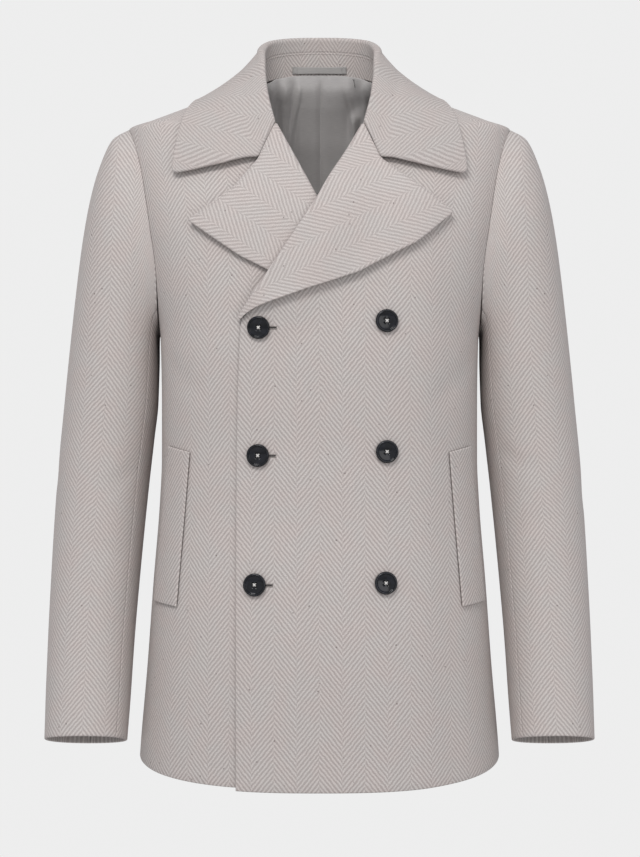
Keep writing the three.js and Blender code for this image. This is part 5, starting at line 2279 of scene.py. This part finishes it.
@dataclass
class Stitching:
    """Stitch rows of the stand seam, the loop's ends, the lapels' edges and the small tack."""

    collar: Collar
    lapels: Sequence[Lapel]
    tack_depth: float = 8.5

    def build(self, finishes: Finishes) -> list[bpy.types.Object]:
        """Makes the stitch rows.

        Args:
            finishes: The coat's finishes.

        Returns:
            The pieces.
        """
        pieces = []
        stand, stand_normal = self.collar.stand_grid, self.collar.stand_normal
        fall, fall_normal = self.collar.fall_grid, self.collar.fall_normal
        rims = (len(fall) - len(stand)) // 2
        fall, fall_normal = fall[rims:-rims], fall_normal[rims:-rims]
        lines = (
            (fall[:, 3] + fall_normal[:, 3] * (CLOTH.collar / 2 + 0.1), fall_normal[:, 3]),
            (stand[:, -2] - stand_normal[:, -2] * (CLOTH.body / 2 + 0.5), -stand_normal[:, -2]),
        )
        for number, (line, normal) in enumerate(lines):
            obj = stitch_mesh(f"stand_stitches_{number + 1}", *stitch_row(line, normal, 3.4, 2.6), 0.26, 0.2)
            pieces.append(place_piece(obj, finishes.wool_thread))
        pieces.append(self.tack(finishes))
        loop, loop_normal = self.collar.loop_grid, self.collar.loop_normal
        for side, columns in (("left", (-2, -5)), ("right", (1, 4))):
            first, last = (
                stitch_row(loop[:, c] + loop_normal[:, c] * 0.62, loop_normal[:, c], 1.5, 1.1)
                for c in columns
            )
            across = slice(min(columns), max(columns) + 1) if side == "right" else slice(-5, -1)
            low, high = (
                stitch_row(loop[r, across] + loop_normal[r, across] * 0.62, loop_normal[r, across], 1.4, 1.0)
                for r in (1, -2)
            )
            joined = [np.concatenate(part) for part in zip(first, last, low, high)]
            obj = stitch_mesh(f"loop_stitches_{side}", *joined, 0.22, 0.15)
            pieces.append(place_piece(obj, finishes.dark_thread))
        for lapel in self.lapels:
            rows = stitch_row(*lapel.seam, 3.0, 1.1)
            obj = stitch_mesh(f"lapel_stitches_{lapel.side.label}", *rows, 0.27, 0.12)
            pieces.append(place_piece(obj, finishes.wool_thread))
        return pieces

    def tack(self, finishes: Finishes) -> bpy.types.Object:
        """The small dark thread end below the neck seam at the wearer's left: four short stitches.

        Args:
            finishes: The coat's finishes.

        Returns:
            The piece.
        """
        ends = np.array([
            [(49.2, 60, 16.0), (52.0, 60, 15.2)], [(51.6, 60, 15.6), (52.6, 60, 12.6)],
            [(52.6, 60, 13.0), (51.6, 60, 9.0)], [(53.4, 60, 16.2), (52.2, 60, 14.0)],
        ])
        surface = BODY.project(ends)
        out = -BODY.normal(surface)
        ends = surface + out * self.tack_depth
        out = out[:, 0]
        obj = stitch_mesh("neck_tack", ends[:, 0], ends[:, 1], out, 0.32, 0.3)
        return place_piece(obj, finishes.dark_thread)


# Studio

@dataclass(frozen=True)
class Studio:
    """Pale floor and background, soft lights and the camera."""

    backdrop: float = 0.852
    floor_z: float = -1.25

    def floor(self) -> bpy.types.Object:
        """Large pale floor that the camera sees as bright as the background.

        Returns:
            The floor.
        """
        size = 6000.0
        points = np.array([(-size, -size, 0), (size, -size, 0), (size, size, 0), (-size, size, 0)])
        points[:, 2] = self.floor_z / MM
        obj = make_mesh("floor", points, np.array([[0, 1, 2, 3]]))
        material = bpy.data.materials.new("pale_floor")
        n = Nodes.fresh(material)
        glow = n.add("ShaderNodeEmission", in_Color=(self.backdrop,) * 3 + (1,), in_Strength=1.0)
        matte = n.add("ShaderNodeBsdfDiffuse", in_Color=(0.6, 0.6, 0.6, 1))
        seen = n.add("ShaderNodeLightPath").outputs["Is Camera Ray"]
        mixed = n.add("ShaderNodeMixShader", in_0=seen, in_1=matte.outputs[0], in_2=glow.outputs[0])
        n.add("ShaderNodeOutputMaterial", in_Surface=mixed.outputs[0])
        obj.data.materials.append(material)
        return obj

    def light(self, name: str, place: tuple, aim: tuple, size: tuple, watts: float) -> None:
        """Area light that looks at a point.

        Args:
            name: Name of the light.
            place: Where the light is.
            aim: Where it looks.
            size: Its two sides.
            watts: Its power.
        """
        data = bpy.data.lights.new(name, "AREA")
        data.shape, data.size, data.size_y, data.energy = "RECTANGLE", size[0], size[1], watts
        data.color = (1.0, 0.985, 0.975)
        obj = bpy.data.objects.new(name, data)
        obj.location = place
        obj.rotation_euler = (Vector(aim) - Vector(place)).to_track_quat("-Z", "Y").to_euler()
        bpy.context.scene.collection.objects.link(obj)

    def build(self) -> None:
        """Sets floor, lights, world and camera."""
        self.floor()
        self.light("key", (-0.6, -2.5, 1.9), (0, 0, -0.33), (1.4, 0.9), 50)
        self.light("fill", (1.4, -2.6, 0.0), (0, 0, -0.35), (1.5, 1.5), 9)
        world = bpy.data.worlds.new("studio")
        n = Nodes.fresh(world)
        seen = n.add("ShaderNodeBackground", in_Color=(self.backdrop,) * 3 + (1,), in_Strength=1.0)
        soft = n.add("ShaderNodeBackground", in_Color=(0.95, 0.965, 1.0, 1), in_Strength=0.6)
        to_camera = n.add("ShaderNodeLightPath").outputs["Is Camera Ray"]
        mixed = n.add("ShaderNodeMixShader", in_0=to_camera, in_1=soft.outputs[0], in_2=seen.outputs[0])
        n.add("ShaderNodeOutputWorld", in_Surface=mixed.outputs[0])
        bpy.context.scene.world = world
        camera = bpy.data.cameras.new("camera")
        camera.sensor_width = 36.0
        camera.lens = 36.0 * 2.8 / 0.99412
        obj = bpy.data.objects.new("camera", camera)
        obj.location = (0.00058, -2.8, -0.400)
        obj.rotation_euler = (math.pi / 2, 0, 0)
        bpy.context.scene.collection.objects.link(obj)
        bpy.context.scene.camera = obj
        bpy.context.scene.view_settings.view_transform = "Standard"


def coat_parts() -> tuple:
    """The coat's pieces with their sizes, in the order in which they are built.

    Returns:
        The pieces.
    """
    roll_left = np.array([(51.3, -60), (3.4, -145.6), (-86, -280)])
    roll_under = np.array([(51.3, -60), (-3.1, -162.7), (-86, -280)])
    front_left = FrontPanel(
        Side.LEFT, roll_left, LENGTHS.hem_drop_over, overlap_lift, Cut(0.40, 0.82, 0.255),
        (
            Crease((176, -80, -318), (128, -128, -372), -1.4, 15),
            Crease((150, -105, -640), (163, -98, -780), 1.2, 17),
            Crease((20, -150, -690), (30, -152, -790), -0.9, 20),
        ),
    )
    front_right = FrontPanel(
        Side.RIGHT, roll_under, LENGTHS.hem_drop_under, no_lift, Cut(0.40, 0.82, 0.250),
        (
            Crease((-172, -84, -322), (-134, -124, -360), -1.3, 13),
            Crease((-148, -106, -665), (-166, -96, -785), 1.3, 18),
            Crease((-112, -133, -470), (-150, -112, -520), -0.8, 14),
        ),
    )
    back = BackPanel(
        Cut(0.56, 0.82, 0.39), Cut(0.55, 0.76, 0.36),
        (
            Crease((-130, 96, -240), (-74, 116, -425), -2.0, 22),
            Crease((118, 99, -262), (80, 115, -390), -1.7, 19),
            Crease((0, 129, -170), (8, 117, -460), 1.2, 28),
            Crease((-90, 128, -560), (-104, 138, -790), 1.7, 24),
            Crease((84, 128, -590), (96, 140, -790), 1.4, 21),
            Crease((12, 131, -610), (4, 143, -790), -1.5, 25),
        ),
    )
    sleeve_creases = {
        Side.LEFT: (
            Crease((200, -52, -425), (246, -68, -446), -1.3, 10),
            Crease((210, -60, -520), (256, -72, -498), -1.0, 11),
            Crease((214, -72, -215), (202, -74, -300), -1.1, 13),
            Crease((286, 10, -440), (300, -20, -486), -1.2, 13),
            Crease((236, 66, -330), (284, 46, -392), -1.7, 15),
            Crease((226, 52, -560), (276, 30, -604), -1.4, 13),
            Crease((250, 60, -150), (228, 72, -240), 1.3, 18),
        ),
        Side.RIGHT: (
            Crease((-202, -54, -440), (-240, -68, -468), -1.4, 11),
            Crease((-216, -62, -548), (-262, -72, -528), -1.0, 10),
            Crease((-212, -73, -235), (-200, -73, -318), -1.0, 12),
            Crease((-288, 12, -420), (-300, -16, -462), -1.3, 12),
            Crease((-240, 66, -345), (-286, 46, -398), -1.5, 14),
            Crease((-222, 54, -500), (-270, 36, -552), -1.5, 14),
            Crease((-248, 60, -170), (-230, 72, -262), 1.1, 17),
        ),
    }
    sleeves = [
        Sleeve(side, Cut(0.26, 0.70, 0.155), Cut(0.15, 0.50, 0.066), creases)
        for side, creases in sleeve_creases.items()
    ]
    lapel_left = Lapel(
        Side.LEFT, roll_left,
        np.array([(51.3, -60), (60, -80), (70, -101), (105, -129), (147.5, -160.5)]),
        np.array([
            (147.5, -160.5), (105, -196), (43, -229), (-12.6, -247.0), (-52.4, -261.3), (-69.2, -267.8),
            (-77.5, -272.5), (-82.6, -277.2), (-84.6, -279.4),
        ]),
        overlap_lift, False, Cut(0.14, 0.26, 0.023, "folded", ("front_left",)),
    )
    lapel_right = Lapel(
        Side.RIGHT, roll_under[:2],
        np.array([(51.3, -60), (60, -80), (69, -101.5), (95, -134), (144.2, -170)]),
        np.array([(144.2, -170), (87.3, -210.6), (55.6, -226.7), (41.3, -233.9)]),
        no_lift, True, Cut(0.14, 0.20, 0.016, "folded", ("front_right",)),
    )
    collar = Collar(
        Cut(0.52, 0.14, 0.067, "folded", ("collar_stand",)), Cut(0.26, 0.034, 0.0069, "stretched", ("back",)),
        Cut(0.068, 0.010, 0.0006, "stretched", ("collar_stand",)),
    )
    welts = [
        Welt(side, layer, Cut(0.050, 0.178, 0.0086, "laid", (f"front_{side.label}",)))
        for side, layer in ((Side.LEFT, overlap_lift), (Side.RIGHT, no_lift))
    ]
    buttons = [
        Button(i + 1, tuple(place), i < 3, overlap_lift) for i, place in enumerate(BUTTON_PLACES)
    ]
    stitching = Stitching(collar, (lapel_left, lapel_right))
    lapels = (lapel_left, lapel_right)
    return (front_left, front_right, back, *sleeves, *lapels, collar, *welts, *buttons, stitching)


def main() -> None:
    """Builds the coat and its studio in order."""
    logging.basicConfig(level=logging.INFO, format="%(message)s")
    finishes = Finishes.build()
    for part in coat_parts():
        part.build(finishes)
    Studio().build()


if __name__ == "__main__":
    main()
